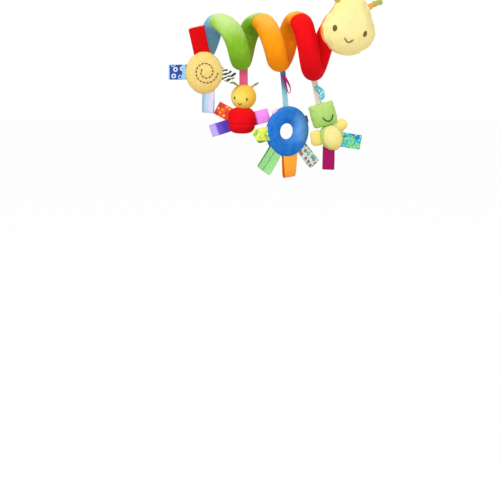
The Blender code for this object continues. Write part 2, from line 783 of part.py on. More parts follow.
def make_bug():
    place = hanging_place(0.5, BUG_HANG_SHIFT)
    neck = strap_from("bug_strap", place, BUG_STRAP_LENGTH, BUG_STRAP_WIDTH, "pink")
    twist = new_pivot("bug_twist_pivot", neck)
    head_z = -BUG_HEAD_HALF_HEIGHT
    body_z = head_z - BUG_HEAD_HALF_HEIGHT - BUG_BODY_HALF_HEIGHT + BUG_NECK_OVERLAP
    body_place = (BUG_BODY_SIDE, 0, body_z)
    sizes = (BUG_BODY_HALF_WIDTH, BUG_BODY_HALF_DEPTH, BUG_BODY_HALF_HEIGHT)
    grown = square_form("bug_body_grown", *sizes, BUG_SQUARE_POWER)
    deflate(grown, -GAP - SEAM_SETBACK)
    cutter = as_cutter("bug_body_grown", grown, twist)
    cutter.location = body_place
    head_sizes = (BUG_HEAD_HALF_WIDTH, BUG_HEAD_HALF_DEPTH, BUG_HEAD_HALF_HEIGHT)
    head_mesh = square_form("bug_head", *head_sizes, 2)
    head = new_part("bug_head", head_mesh, "cream", twist)
    head.location = (0, 0, head_z)
    cut(head, cutter)
    head_grown = square_form("bug_head_grown", *head_sizes, 2)
    deflate(head_grown, -GAP)
    head_cutter = as_cutter("bug_head_grown", head_grown, twist)
    head_cutter.location = head.location
    for name, degrees, direction in BUG_FEELERS:
        angle = math.radians(degrees)
        reach = BUG_HEAD_HALF_HEIGHT - BUG_FEELER_RADIUS
        start = (reach * math.cos(angle), 0, head_z + reach * math.sin(angle))
        item = feeler("bug_feeler_" + name, start, math.radians(direction),
                      BUG_FEELER_RADIUS, BUG_FEELER_LENGTH + BUG_FEELER_RADIUS,
                      "orange", twist)
        cut(item, head_cutter)
    body = new_pivot("bug_body_pivot", body_place, twist)
    outer = square_form("bug_body", *sizes, BUG_SQUARE_POWER)
    cover_halves("bug", outer, ("bug_body_front", "bug_body_back"), ("red", "red"), body)
    deflate(outer, COVER_WALL + GAP)
    stuffing = new_part("bug_stuffing", outer, "white", body)
    cut(stuffing, make_rattle_pocket(body))
    make_rattle(body)
    rim = (BUG_BODY_HALF_WIDTH, BUG_BODY_HALF_HEIGHT, BUG_SQUARE_POWER)
    tags_round(BUG_TAG_SHARES, rim, body, cutter)


def make_rattle_pocket(body):
    # A round pocket, open at the back, that the capsule is pushed into
    bm = bmesh.new()
    radius = RATTLE_RADIUS + SEAM_SETBACK + RATTLE_CLEARANCE
    wide = radius + GAP
    depth = BUG_BODY_HALF_DEPTH + CUT_OVERRUN
    turned = Matrix.Translation((0, depth / 2, 0)) @ Matrix.Rotation(math.radians(90), 4, "X")
    bmesh.ops.create_cone(
        bm, cap_ends=True, segments=FORM_AROUND, radius1=wide, radius2=wide,
        depth=depth, matrix=turned,
    )
    pocket = as_cutter("rattle_pocket", mesh_from(bm, "rattle_pocket"), body)
    dome = bmesh.new()
    bmesh.ops.create_uvsphere(
        dome, u_segments=FORM_AROUND, v_segments=FORM_AROUND // 2, radius=radius,
        matrix=Matrix.Rotation(math.radians(90), 4, "X"),
    )
    ball = as_cutter("rattle_pocket_dome", mesh_from(dome, "rattle_pocket_dome"), body)
    union = pocket.modifiers.new("dome", "BOOLEAN")
    union.operation = "UNION"
    union.solver = "EXACT"
    union.object = ball
    return pocket


def make_rattle(body):
    # Two half capsules, closed at the middle, with loose beads lying in the lower one
    bm = bmesh.new()
    bmesh.ops.create_uvsphere(
        bm, u_segments=FORM_AROUND, v_segments=FORM_AROUND // 2, radius=RATTLE_RADIUS,
        matrix=Matrix.Rotation(math.radians(90), 4, "X"),
    )
    ball = mesh_from(bm, "rattle_ball")
    half = half_of(ball, "rattle_half", 1)
    for name, turn in (("rattle_capsule_upper", 90), ("rattle_capsule_lower", -90)):
        item = new_part(name, half.copy(), "white", body, roughness=0.4)
        item.rotation_euler = (math.radians(turn), 0, 0)
        shell(item, RATTLE_WALL)
    bpy.data.meshes.remove(ball)
    bpy.data.meshes.remove(half)
    inside = RATTLE_RADIUS - RATTLE_WALL - BEAD_RADIUS - GAP
    spread = inside * BEAD_PLACES_SHARE
    for index in range(BEAD_COUNT):
        angle = math.tau * index / BEAD_COUNT + math.radians(90)
        place = (
            spread * math.cos(angle),
            spread * math.sin(angle),
            -math.sqrt(inside**2 - spread**2) + GAP,
        )
        bead = bmesh.new()
        bmesh.ops.create_uvsphere(bead, u_segments=8, v_segments=6, radius=BEAD_RADIUS)
        name = f"rattle_bead_{index + 1}"
        item = new_part(name, mesh_from(bead, name), "blue", body, roughness=0.3)
        item.location = place


def ring_mesh(name, inset):
    middle = (RING_RADIUS + RING_HOLE_RADIUS) / 2
    half_width = (RING_RADIUS - RING_HOLE_RADIUS) / 2 - inset
    bpy.ops.mesh.primitive_torus_add(
        major_segments=RING_AROUND, minor_segments=RING_SIDES,
        major_radius=middle, minor_radius=half_width,
    )
    item = bpy.context.object
    mesh = item.data
    remove_item(item)
    depth_share = (RING_HALF_DEPTH - inset) / half_width
    mesh.transform(Matrix.Diagonal((1, 1, depth_share, 1)))
    mesh.transform(Matrix.Rotation(math.radians(90), 4, "X"))
    mesh.name = name
    return mesh


def make_ring():
    place = hanging_place(1.5, RING_HANG_SHIFT)
    neck = strap_from("ring_strap", place, RING_STRAP_LENGTH, RING_STRAP_WIDTH, "aqua",
                      RING_STRAP_LEAN)
    make_side_loop("ring_side_loop", place, RING_LOOP_LENGTH, RING_LOOP_ANGLE, "magenta")
    twist = new_pivot("ring_pivot", neck)
    twist.rotation_euler = (0, 0, RING_YAW)
    centre = new_pivot("ring_centre", (0, 0, -RING_RADIUS), twist)
    outer = ring_mesh("ring_form", 0)
    cover_halves("ring", outer, ("ring_front", "ring_back"), ("blue", "blue"), centre)
    bpy.data.meshes.remove(outer)
    inner = ring_mesh("ring_stuffing", COVER_WALL + GAP)
    new_part("ring_stuffing", inner, "white", centre)
    grown = as_cutter("ring_grown", ring_mesh("ring_grown", -GAP - SEAM_SETBACK), centre)
    tags_round(RING_TAG_SHARES, (RING_RADIUS, RING_RADIUS, 2), centre, grown)


def make_side_loop(name, place, length, angle, colour):
    # A spare ribbon loop sewn in beside the strap, just in front of it
    y = -(STRAP_THICKNESS / 2 + GAP + SIDE_LOOP_WIDTH / 2)
    path = loop_path(length, SIDE_LOOP_BULGE, SIDE_LOOP_MOUTH_SHARE)
    item = ribbon(name, path, SIDE_LOOP_WIDTH, colour, None)
    side = Matrix.Rotation(-angle, 4, "Y") @ Matrix.Rotation(math.radians(90), 4, "X")
    item.matrix_local = Matrix.Translation(place + Vector((0, y, -SIDE_LOOP_DROP))) @ side


def make_frog():
    place = hanging_place(2.5, FROG_HANG_SHIFT, FROG_STRAP_WIDTH / 2)
    neck = swaying_strap("frog_strap", place, "grey")
    make_side_loop("frog_side_loop", place, FROG_LOOP_LENGTH, FROG_LOOP_ANGLE, "aqua")
    pivot = new_pivot("frog_pivot", neck)
    pivot.rotation_euler = (0, FROG_LEAN, 0)
    corner = FROG_STRAP_WIDTH / 2 * math.sin(abs(FROG_LEAN - FROG_STRAP_LEAN))
    head_z = -FROG_HEAD_HALF_HEIGHT - corner
    body_z = head_z - FROG_HEAD_HALF_HEIGHT - FROG_BODY_HALF_HEIGHT + FROG_NECK_OVERLAP
    head_sizes = (FROG_HEAD_HALF_WIDTH, FROG_HEAD_HALF_DEPTH, FROG_HEAD_HALF_HEIGHT)
    head_mesh = square_form("frog_head", *head_sizes, FROG_SQUARE_POWER)
    head = new_part("frog_head", head_mesh, "lime", pivot)
    head.location = (0, 0, head_z)
    for side in (-1, 1):
        bm = bmesh.new()
        bmesh.ops.create_uvsphere(bm, u_segments=10, v_segments=6, radius=FROG_EAR_RADIUS)
        ear = as_cutter("frog_ear", mesh_from(bm, "frog_ear"), pivot)
        x = side * FROG_EAR_SIDE_SHARE * FROG_HEAD_HALF_WIDTH
        ear.location = (x, 0, head_z + FROG_EAR_HEIGHT_SHARE * FROG_HEAD_HALF_HEIGHT)
        union = head.modifiers.new("ear", "BOOLEAN")
        union.operation = "UNION"
        union.solver = "EXACT"
        union.object = ear
    body = new_pivot("frog_body_pivot", (0, 0, body_z), pivot)
    sizes = (FROG_BODY_HALF_WIDTH, FROG_BODY_HALF_DEPTH, FROG_BODY_HALF_HEIGHT)
    grown = square_form("frog_body_grown", *sizes, 2)
    deflate(grown, -GAP - SEAM_SETBACK)
    body_cutter = as_cutter("frog_body_grown", grown, body)
    cut(head, body_cutter)
    outer = square_form("frog_body", *sizes, 2)
    cover_halves("frog", outer, ("frog_belly", "frog_body"), ("cream", "lime"), body)
    deflate(outer, COVER_WALL + GAP)
    stuffing = new_part("frog_stuffing", outer, "white", body)
    cut(stuffing, make_squeaker(body))
    for name, degrees, width_share in FROG_ARMS:
        half_width = width_share * FROG_ARM_HALF_LENGTH
        size = (FROG_ARM_HALF_LENGTH, FROG_ARM_HALF_DEPTH, half_width)
        form = square_form("frog_arm_" + name, *size, FROG_SQUARE_POWER)
        arm = new_part("frog_arm_" + name, form, "cream", body)
        reach = FROG_BODY_HALF_WIDTH + FROG_ARM_HALF_LENGTH - FROG_ARM_TUCK
        turn = Matrix.Rotation(-math.radians(degrees), 4, "Y")
        arm.matrix_local = turn @ Matrix.Translation((reach, 0, 0))
        cut(arm, body_cutter)
    tags_round(FROG_TAG_SHARES, (FROG_BODY_HALF_WIDTH, FROG_BODY_HALF_HEIGHT, 2), body, body_cutter)


def make_squeaker(body):
    # A squeaker disc in a pocket of the stuffing that is open at the back
    bm = bmesh.new()
    turned = Matrix.Rotation(math.radians(90), 4, "X")
    bmesh.ops.create_cone(
        bm, cap_ends=True, segments=FORM_AROUND, radius1=SQUEAKER_RADIUS,
        radius2=SQUEAKER_RADIUS, depth=2 * SQUEAKER_HALF_THICKNESS, matrix=turned,
    )
    new_part("frog_squeaker", mesh_from(bm, "frog_squeaker"), "white", body, roughness=0.4)
    pocket = bmesh.new()
    depth = SQUEAKER_HALF_THICKNESS + GAP + FROG_BODY_HALF_DEPTH + CUT_OVERRUN
    front = SQUEAKER_HALF_THICKNESS + GAP
    shifted = Matrix.Translation((0, depth / 2 - front, 0)) @ turned
    bmesh.ops.create_cone(
        pocket, cap_ends=True, segments=FORM_AROUND, radius1=SQUEAKER_RADIUS + GAP,
        radius2=SQUEAKER_RADIUS + GAP, depth=depth, matrix=shifted,
    )
    return as_cutter("squeaker_pocket", mesh_from(pocket, "squeaker_pocket"), body)


clear_scene()
PARTS = new_collection("hanging_rattle_toy")
CUTTERS = new_collection("cutters")
head_guide = make_head_cutter()
tube_section = make_spiral(head_guide)
make_head(head_guide)
make_snail(tube_section)
make_bug()
make_ring()
make_frog()
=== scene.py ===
# A hanging rattle toy: a padded velour spiral round a bar, with a smiling head and four
# sewn toys on ribbon straps. Sizes are in millimetres, turned to metres by mm.
from functools import partial
from math import atan2, copysign, cos, exp, hypot, pi, radians, sin, sqrt, tau

import bmesh
import bpy
import numpy as np
from mathutils import Matrix, Vector, noise
from mathutils.bvhtree import BVHTree


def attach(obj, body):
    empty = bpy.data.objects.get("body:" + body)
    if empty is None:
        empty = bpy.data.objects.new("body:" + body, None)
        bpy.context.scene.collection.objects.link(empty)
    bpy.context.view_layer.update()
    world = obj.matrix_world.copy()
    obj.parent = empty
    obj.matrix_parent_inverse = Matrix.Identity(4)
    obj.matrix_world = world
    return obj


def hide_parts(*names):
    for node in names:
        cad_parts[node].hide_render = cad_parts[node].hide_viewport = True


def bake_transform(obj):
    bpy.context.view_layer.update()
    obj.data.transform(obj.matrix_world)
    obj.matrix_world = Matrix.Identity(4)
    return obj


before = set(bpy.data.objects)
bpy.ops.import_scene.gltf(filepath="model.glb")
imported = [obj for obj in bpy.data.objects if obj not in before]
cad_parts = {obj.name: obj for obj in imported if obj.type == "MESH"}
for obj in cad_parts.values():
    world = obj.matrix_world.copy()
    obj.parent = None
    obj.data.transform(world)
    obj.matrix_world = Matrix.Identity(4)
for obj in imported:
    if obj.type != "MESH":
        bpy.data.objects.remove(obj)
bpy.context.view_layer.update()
mm = 0.001
print("frame loaded:", len(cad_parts), "nodes")


# small helpers
def linearColour(text):
    # an sRGB hex value as Blender's linear colour
    parts = [int(text[i:i + 2], 16) / 255 for i in (1, 3, 5)]
    return (*[c / 12.92 if c <= 0.04045 else ((c + 0.055) / 1.055) ** 2.4 for c in parts], 1)


def feed(node, inputs):
    # each input, by name or in order, gets a value, a hex colour or another node's output
    for key, value in inputs.items() if isinstance(inputs, dict) else enumerate(inputs):
        if isinstance(value, bpy.types.NodeSocket):
            node.id_data.links.new(value, node.inputs[key])
        else:
            value = linearColour(value) if isinstance(value, str) else value
            node.inputs[key].default_value = value


def addNode(tree, kind, inputs=(), out=0, stops=(), **settings):
    # one node, its settings, the stops of its colour ramp and its inputs; gives one output
    node = tree.nodes.new(kind if "Node" in kind else "ShaderNode" + kind)
    for key, value in settings.items():
        setattr(node, key, value)
    for index, (place, colour) in enumerate(stops):
        elements = node.color_ramp.elements
        stop = elements[index] if index < 2 else elements.new(1.0)
        stop.position, stop.color = place, linearColour(colour)
    feed(node, inputs)
    return node.outputs[out] if node.outputs else node


def layered(add, colour, *layers):
    # colours laid over a colour, each where its share is 1: dyes, prints, painted highlight and
    # painted shade
    for share, dye in layers:
        colour = add("Mix", {0: share, 6: colour, 7: dye}, 2, data_type="RGBA")
    return colour


def shares(count):
    # 0 to 1 in even steps
    return [step / count for step in range(count + 1)]


def placed(x=0, y=0, z=0, lean=0, yaw=0):
    # a place in mm, leant about Y and then yawed about its own Z, in degrees
    return (Matrix.Translation(Vector((x, y, z)) * mm)
            @ Matrix.Rotation(radians(lean), 4, "Y")
            @ Matrix.Rotation(radians(yaw), 4, "Z"))


def addObject(name, data):
    piece = bpy.data.objects.new(name, data)
    bpy.context.scene.collection.objects.link(piece)
    return piece


def newPiece(name, verts, faces, materials=(), matrix=None, uvs=None):
    # a mesh object at the origin; uvs is one pair for each vertex
    mesh = bpy.data.meshes.new(name)
    if matrix is not None:
        verts = [matrix @ Vector(v) for v in verts]
    mesh.from_pydata([tuple(v) for v in verts], [], faces)
    if uvs is not None:
        layer = mesh.uv_layers.new(name="cloth")
        for loop in mesh.loops:
            layer.data[loop.index].uv = uvs[loop.vertex_index]
    mesh.validate()
    mesh.shade_smooth()
    for material in materials:
        mesh.materials.append(material)
    return addObject(name, mesh)


def evaluated(piece):
    # its mesh with every modifier applied
    graph = bpy.context.evaluated_depsgraph_get()
    graph.update()
    mesh = bpy.data.meshes.new_from_object(piece.evaluated_get(graph))
    mesh.shade_smooth()
    return mesh


def settle(piece):
    mesh = evaluated(piece)
    piece.modifiers.clear()
    piece.data = mesh
    mesh.name = piece.name


def smoother(piece):
    modifier = piece.modifiers.new("smoother", "SUBSURF")
    modifier.levels = modifier.render_levels = 1
    modifier.uv_smooth = "PRESERVE_BOUNDARIES"
    settle(piece)


def faceOutward(piece, mergeDistance=0):
    bm = bmesh.new()
    bm.from_mesh(piece.data)
    if mergeDistance:
        bmesh.ops.remove_doubles(bm, verts=bm.verts, dist=mergeDistance * mm)
    bmesh.ops.recalc_face_normals(bm, faces=bm.faces)
    bm.to_mesh(piece.data)
    bm.free()


def nodeName(name):
    # the solid's name for a piece's name, such as frog_arm_left for frogArmLeft
    return "".join("_" + letter.lower() if letter.isupper() else letter for letter in name)


def register(piece, body, slot, *nodes):
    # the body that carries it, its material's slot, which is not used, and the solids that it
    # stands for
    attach(piece, body)
    if nodes:
        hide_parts(*nodes)


def laidOn(form, x, z, lift):
    # the place on the front of a form's finished cloth at x, z in its own frame
    matrix, tree = form["place"], form["tree"]
    start = matrix @ (Vector((x, -80, z)) * mm)    # from well in front of it
    way = matrix.to_3x3() @ Vector((0, 1, 0))
    hit, normal = tree.ray_cast(start, way)[:2]
    if hit is None:
        hit, normal = tree.find_nearest(matrix @ (Vector((x, 0, z)) * mm))[:2]
    if normal.dot(way) > 0:
        normal = -normal
    return hit + normal * lift * mm


# cloth and thread
velour = {
    "patch": 11,        # mm across a patch where the pile lies another way
    "brush": 3.2,       # mm, the streaks along which it was stroked
    "pile": 0.9,        # mm, drawn coarser than real 0.3 mm pile so that it shows
    "pileDepth": 0.35,  # mm
    "tones": (0.28, 0.72),
    "between": (0.32, 0.55, 0.36, 0),   # painted shade, the deep tone between tufts
    "facingUp": (0.1, 0.95),
    "facingDown": (-0.9, 0.15),
    "sheen": 0.2,
    "lit": 0.62,        # how much of the painted highlight shows on top
    "deep": 0.55,       # how much of the painted shade shows underneath
}
ribbonWeave = {
    "rib": 1.1,          # mm between ribs, coarser than real 0.4 mm so that they show
    "ribDepth": 0.12,
    "selvedge": 1.3,     # mm, the firmer woven edge
}
thread = {"ply": 0.9, "depth": 0.2, "lift": 0.35}    # lift: how far it stands on the cloth
cord = {"turnsPerCm": 2.2, "fibre": 0.8, "depth": 0.25, "dipFrom": 0.58, "dipTo": 0.7}


def startMaterial(name):
    material = bpy.data.materials.new(name)
    material.use_nodes = True
    tree = material.node_tree
    return material, tree.nodes["Principled BSDF"], partial(addNode, tree)


def polyesterVelour(name, body, stroked, shadow, lit, panel=None):
    # knitted polyester velour, cut pile: matt, soft at its edges and paler where it is stroked,
    # with a painted highlight on top, painted shade underneath and painted shade between the
    # tufts; a panel is another dye or a painted highlight, inside an oval or beyond a plane, with
    # a seam where it has one
    material, shader, add = startMaterial(name)
    place = add("TexCoord", out="Object")
    patch = add("TexNoise", {"Vector": place, "Scale": 1 / (velour["patch"] * mm),
                             "Detail": 2, "Roughness": 0.5})
    streak = add("Mapping", {"Vector": place, "Scale": (1, 1, 0.35)})
    brush = add("TexNoise", {"Vector": streak, "Scale": 1 / (velour["brush"] * mm),
                             "Detail": 1})
    pile = add("TexNoise", {"Vector": place, "Scale": 1 / (velour["pile"] * mm),
                            "Detail": 2, "Roughness": 0.7})
    tone = add("Math", (patch, 0.6), operation="MULTIPLY")
    tone = add("Math", (brush, 0.4, tone), operation="MULTIPLY_ADD")
    colour = add("ValToRGB", (tone,), stops=zip(velour["tones"], (body, stroked)))
    layers = []
    if panel:
        beyond = panel.get("beyond")
        low, high = panel["edge"]
        halves = panel.get("halves", (1, 1))
        local = add("Mapping", {
            "Vector": place, "Location": panel["place"].translation,
            "Rotation": panel["place"].to_euler(),
            "Scale": (halves[0] * mm, 1 * mm if beyond else 10, halves[1] * mm)},
            vector_type="TEXTURE")
        other = add("ValToRGB", (tone,), stops=zip(velour["tones"], panel["dyes"]))
        if beyond:
            away = add("SeparateXYZ", (local,), "Y")
        else:
            away = add("VectorMath", (local,), "Value", operation="LENGTH")
            colour, other = other, colour
        layers.append((add("MapRange", (away, low, high)), other))
        if "seam" in panel:
            seam = add("Math", (away, (low + high) / 2, 0.035), operation="COMPARE")
            layers.append((add("Math", (seam, 0.4), operation="MULTIPLY"), panel["seam"]))
    # painted highlight where the cloth faces up, painted shade where it faces down and between the
    # tufts
    facing = add("SeparateXYZ", (add("NewGeometry", out="Normal"),), "Z")
    layers += [
        (add("MapRange", (facing, *velour["facingUp"], 0, velour["lit"]),
             interpolation_type="SMOOTHSTEP"), lit),
        (add("MapRange", (facing, *velour["facingDown"], velour["deep"], 0),
             interpolation_type="SMOOTHSTEP"), shadow),
        (add("MapRange", (pile, *velour["between"])), shadow)]
    feed(shader, {
        "Base Color": layered(add, colour, *layers), "Roughness": 0.92, "Specular IOR Level": 0.08,
        "Normal": add("Bump", {"Strength": 0.55, "Distance": velour["pileDepth"] * mm,
                               "Height": pile}),
        "Sheen Weight": velour["sheen"], "Sheen Roughness": 0.45, "Sheen Tint": stroked})
    return material


def ribbon(name, ground, paint=None, ends=None, rough=0.42, depth=1, shine=0.35):
    # woven polyester satin ribbon: smooth, a soft streak of gloss, printed by heat transfer;
    # its UV map is in centimetres, across and then along
    material, shader, add = startMaterial(name)
    uv = add("UVMap", uv_map="cloth")
    across = add("SeparateXYZ", (uv,))
    along = across.node.outputs["Y"]
    colour = ground
    if ends:
        # a wash of colour from one end of the ribbon to the other, marked in mm
        first, last = ends[0][0], ends[-1][0]
        colour = add("ValToRGB", (add("MapRange", (along, first / 10, last / 10)),),
                     stops=[((mark - first) / (last - first), dye) for mark, dye in ends])
    if paint:
        colour = paint(add, uv, across, along, colour)
    wear = add("TexNoise", {"Vector": uv, "Scale": 1.6, "Detail": 3})
    toned = add("HueSaturation", {
        "Color": colour, "Value": add("MapRange", (wear, 0.35, 0.7, 0.94, 1.06))})
    ribs = add("TexWave", {"Vector": uv, "Scale": 10 / ribbonWeave["rib"] / 2,
                           "Distortion": 0.4, "Detail": 1}, "Fac", bands_direction="Y")
    edge = add("Math", (across, 10 / ribbonWeave["selvedge"]), operation="MULTIPLY")
    selvedge = add("MapRange", (edge, 0.7, 1, 1, 0))
    height = add("Math", (ribs, 0.35 * depth, selvedge), operation="MULTIPLY_ADD")
    feed(shader, {
        "Base Color": toned, "Specular IOR Level": shine,
        "Normal": add("Bump", {"Strength": 0.5, "Distance": ribbonWeave["ribDepth"] * mm,
                               "Height": height}),
        "Roughness": add("MapRange", (ribs, 0, 1, rough - 0.06, rough + 0.08)),
        "Sheen Weight": 0.08 if shine > 0.2 else 0, "Sheen Roughness": 0.3})
    return material


def embroideryThread(name, light, dark):
    # rayon embroidery thread laid side by side, with a soft shine; each strand is painted paler on
    # its crest and darker between strands, a painted highlight and painted shade
    material, shader, add = startMaterial(name)
    strand = add("TexWave", {
        "Vector": add("TexCoord", out="Object"), "Scale": 1 / (thread["ply"] * mm) / 6.28,
        "Distortion": 1.5, "Detail": 1}, "Fac", bands_direction="DIAGONAL")
    feed(shader, {
        "Base Color": layered(add, dark, (strand, light)),
        "Normal": add("Bump", {"Strength": 0.7, "Distance": thread["depth"] * mm,
                               "Height": strand}),
        "Roughness": 0.5, "Specular IOR Level": 0.25, "Sheen Weight": 0.05})
    return material


def twistedCord(name, main, second, tip, length):
    # two-ply twisted polyester cord with a dipped tip; UV is turns round and centimetres along
    material, shader, add = startMaterial(name)
    around = add("SeparateXYZ", (add("UVMap", uv_map="cloth"),))
    along = around.node.outputs["Y"]
    winding = add("Math", (along, cord["turnsPerCm"], around), operation="MULTIPLY_ADD")
    turn = add("Math", (winding,), operation="FRACT")
    band = add("MapRange", (turn, 0.55, 0.65))
    dipped = add("MapRange", (along, length * cord["dipFrom"] / 10, length * cord["dipTo"] / 10))
    fibres = add("TexNoise", {"Vector": add("TexCoord", out="Object"),
                              "Scale": 1 / (cord["fibre"] * mm), "Detail": 2})
    feed(shader, {
        "Base Color": layered(add, main, (band, second), (dipped, tip)), "Roughness": 0.75,
        "Normal": add("Bump", {"Strength": 0.5, "Distance": cord["depth"] * mm,
                               "Height": fibres}),
        "Sheen Weight": 0.35})
    return material


def mouldedPlastic(name, dark, pale, rough):
    # injection moulded ABS, faintly mottled, with a soft gloss
    material, shader, add = startMaterial(name)
    grain = add("TexNoise", {"Vector": add("TexCoord", out="Object"), "Scale": 900,
                             "Detail": 2})
    mottle = add("MapRange", (grain, 0.3, 0.7))
    feed(shader, {
        "Base Color": layered(add, dark, (mottle, pale)),
        "Normal": add("Bump", {"Strength": 0.2, "Distance": 0.05 * mm, "Height": grain}),
        "Roughness": rough})
    return material


# padded forms
def outlineShare(turn, power, ears=()):
    # how far the seam lies from the middle, as a share, with bumps for ears
    corner = abs(cos(turn)) ** power + abs(sin(turn)) ** power
    share = corner ** (-1 / power)
    for place, height, width in ears:
        away = (turn - radians(place) + pi) % tau - pi
        share += height * exp(-(away / radians(width)) ** 2)
    return share


def pillow(name, form, materials):
    # two square grids drawn out to the seam's outline, front and back, that share the seam
    cells = form["cells"]
    verts, index, faces, seam = [], {}, [], []
    steps = range(cells + 1)
    for side, i, j in ((side, i, j) for side in (-1, 1) for i in steps for j in steps):
        rim = i in (0, cells) or j in (0, cells)
        if rim and side == 1:
            index[side, i, j] = index[-1, i, j]
            continue
        u, v = 2 * i / cells - 1, 2 * j / cells - 1
        x, z = u * sqrt(1 - v * v / 2), v * sqrt(1 - u * u / 2)
        reach, turn = hypot(x, z), atan2(z, x)
        share = sin(min(reach, 1) * pi / 2)
        outline = outlineShare(turn, form["power"], form.get("ears", ()))
        spread = 1 + (outline - 1) * share
        narrow = 1 - form.get("pinch", 0) * max(share * sin(turn), 0)
        depth = sqrt(max(1 - share * share, 0)) * narrow * form["depth"]
        height = form["rise"] if z > 0 else form["drop"]
        index[side, i, j] = len(verts)
        if rim:
            seam.append(len(verts))
        verts.append(Vector((share * cos(turn) * spread * narrow * form["width"],
                             side * depth, share * sin(turn) * spread * height)) * mm)
    for side, i, j in ((side, i, j) for side in (-1, 1) for i in steps[1:] for j in steps[1:]):
        ring = [index[side, i - 1, j - 1], index[side, i, j - 1],
                index[side, i, j], index[side, i - 1, j]]
        faces.append(ring if side == -1 else ring[::-1])
    piece = newPiece(name, verts, faces, materials, form["place"])
    if len(materials) > 1:
        for polygon in piece.data.polygons:
            polygon.material_index = 1 if polygon.index >= cells * cells else 0
    return piece, seam


paddedJobs = []
clothSettings = {
    "quality": 5, "mass": 0.15, "tension_stiffness": 15, "compression_stiffness": 15,
    "shear_stiffness": 5, "bending_stiffness": 0.05, "use_pressure": True,
}
clothFrames = 20


def plump(piece, pinned, fill, pressure, growth, cap, after=None):
    # noted now, and blown up together with the other padded pieces
    paddedJobs.append((piece, pinned, fill, pressure, growth, cap, after))


def blowUp():
    # the cloth is cut a little larger than the form and sewn at the seam, so it puckers
    starts = {}
    for piece, pinned, fill, pressure, growth, cap, after in paddedJobs:
        starts[piece.name] = np.array([v.co for v in piece.data.vertices])
        piece.vertex_groups.new(name="seam").add([int(i) for i in pinned], 1, "REPLACE")
        cloth = piece.modifiers.new("cloth", "CLOTH")
        for key, value in clothSettings.items():
            setattr(cloth.settings, key, value)
        cloth.settings.uniform_pressure_force = pressure
        cloth.settings.shrink_min = -growth
        cloth.settings.vertex_group_mass = "seam"
        cloth.settings.effector_weights.gravity = 0
        cloth.collision_settings.use_collision = False
        cloth.point_cache.frame_start, cloth.point_cache.frame_end = 1, clothFrames
    for step in range(1, clothFrames + 1):
        bpy.context.scene.frame_set(step)
    graph = bpy.context.evaluated_depsgraph_get()
    for piece, pinned, fill, pressure, growth, cap, after in paddedJobs:
        start = starts[piece.name]
        mesh = piece.evaluated_get(graph).to_mesh()
        move = np.array([v.co for v in mesh.vertices]) - start
        piece.evaluated_get(graph).to_mesh_clear()
        size = np.linalg.norm(move, axis=1, keepdims=True)
        move *= np.minimum(1, cap * mm / np.maximum(size, 1e-9))
        print(f"  {piece.name}: moved {size.max() / mm:.1f} mm, mean {size.mean() / mm:.1f}")
        piece.modifiers.clear()
        piece.vertex_groups.clear()
        piece.data.vertices.foreach_set("co", (start + move).ravel())
        piece.data.update()
        smoother(piece)
        if after:
            after(piece)


# velours, one for each dye: body, stroked, painted shade underneath and painted highlight on top,
# and a panel where it has one, of another dye or a painted highlight
headPlace = placed(123.5, -42, 19.5, 11, 14)
ringPlace = placed(26.942, 0, -146.145, 0, 33)
frogPlace = placed(80.856, 0, -100.414, -21)
frogBodyPlace = frogPlace @ placed(0, 0, -57.782)
cheekLean = Matrix.Rotation(radians(6), 4, "Z") @ Matrix.Rotation(radians(-5.5), 4, "X")
velourDyes = {
    "blue": ("#74b0de", "#8cc4ec", "#4e8cc2", "#a8dcf4"),
    # a painted highlight: the green turn is paler over its left shoulder
    "green": ("#78ac24", "#8cbe36", "#578c0e", "#dcf0ae",
              {"place": placed(-80, 0, 22), "halves": (24, 30), "edge": (0.25, 1.2),
               "dyes": ("#a4cc5c", "#b4d873")}),
    "orange": ("#f09008", "#f89c18", "#d86f02", "#fbc860"),
    "red": ("#dd020e", "#e8101a", "#ac020c", "#e81a16"),
    # the head's back panel comes round to the front at its left cheek
    "cream": ("#eadb90", "#f2e6a8", "#dcc880", "#f6e694",
              {"place": headPlace @ cheekLean, "beyond": True, "edge": (-0.4, 0.4),
               "dyes": ("#dd7a28", "#e8903e")}),
    "rust": ("#dd7a28", "#e8903e", "#b95c17", "#f2a85a"),
    # the bug's face is yellower on its left
    "gold": ("#e6b438", "#eec44e", "#cf9428", "#f6d054",
             {"place": placed(-53, 0, -94), "halves": (21, 25), "edge": (0.3, 1.2),
              "dyes": ("#e8d462", "#f0dc70")}),
    "straw": ("#e2c472", "#ecd28a", "#c4a24c", "#ecd66c"),
    "butter": ("#e6d26c", "#eedc84", "#d3b657", "#f4e48e"),
    # a painted highlight: the ring is paler on its right
    "ringBlue": ("#1264be", "#347fd0", "#0f5cb4", "#5090da",
                 {"place": ringPlace @ placed(27, 0, 4), "halves": (24, 32),
                  "edge": (0.35, 1.05), "dyes": ("#4f8eda", "#74aae8")}),
    "lime": ("#9ec862", "#b4d67e", "#86b24a", "#c2e08c"),
    "belly": ("#9ec862", "#b4d67e", "#b9b458", "#dfe69a",
              {"place": frogBodyPlace @ placed(2, 0, -2.6), "halves": (15.6, 20.8),
               "edge": (0.96, 0.98), "dyes": ("#ead584", "#f2e29e"), "seam": "#9c9a3c"}),
}
velours = {key: polyesterVelour("velourKnit" + key[0].upper() + key[1:], *dyes)
           for key, dyes in velourDyes.items()}


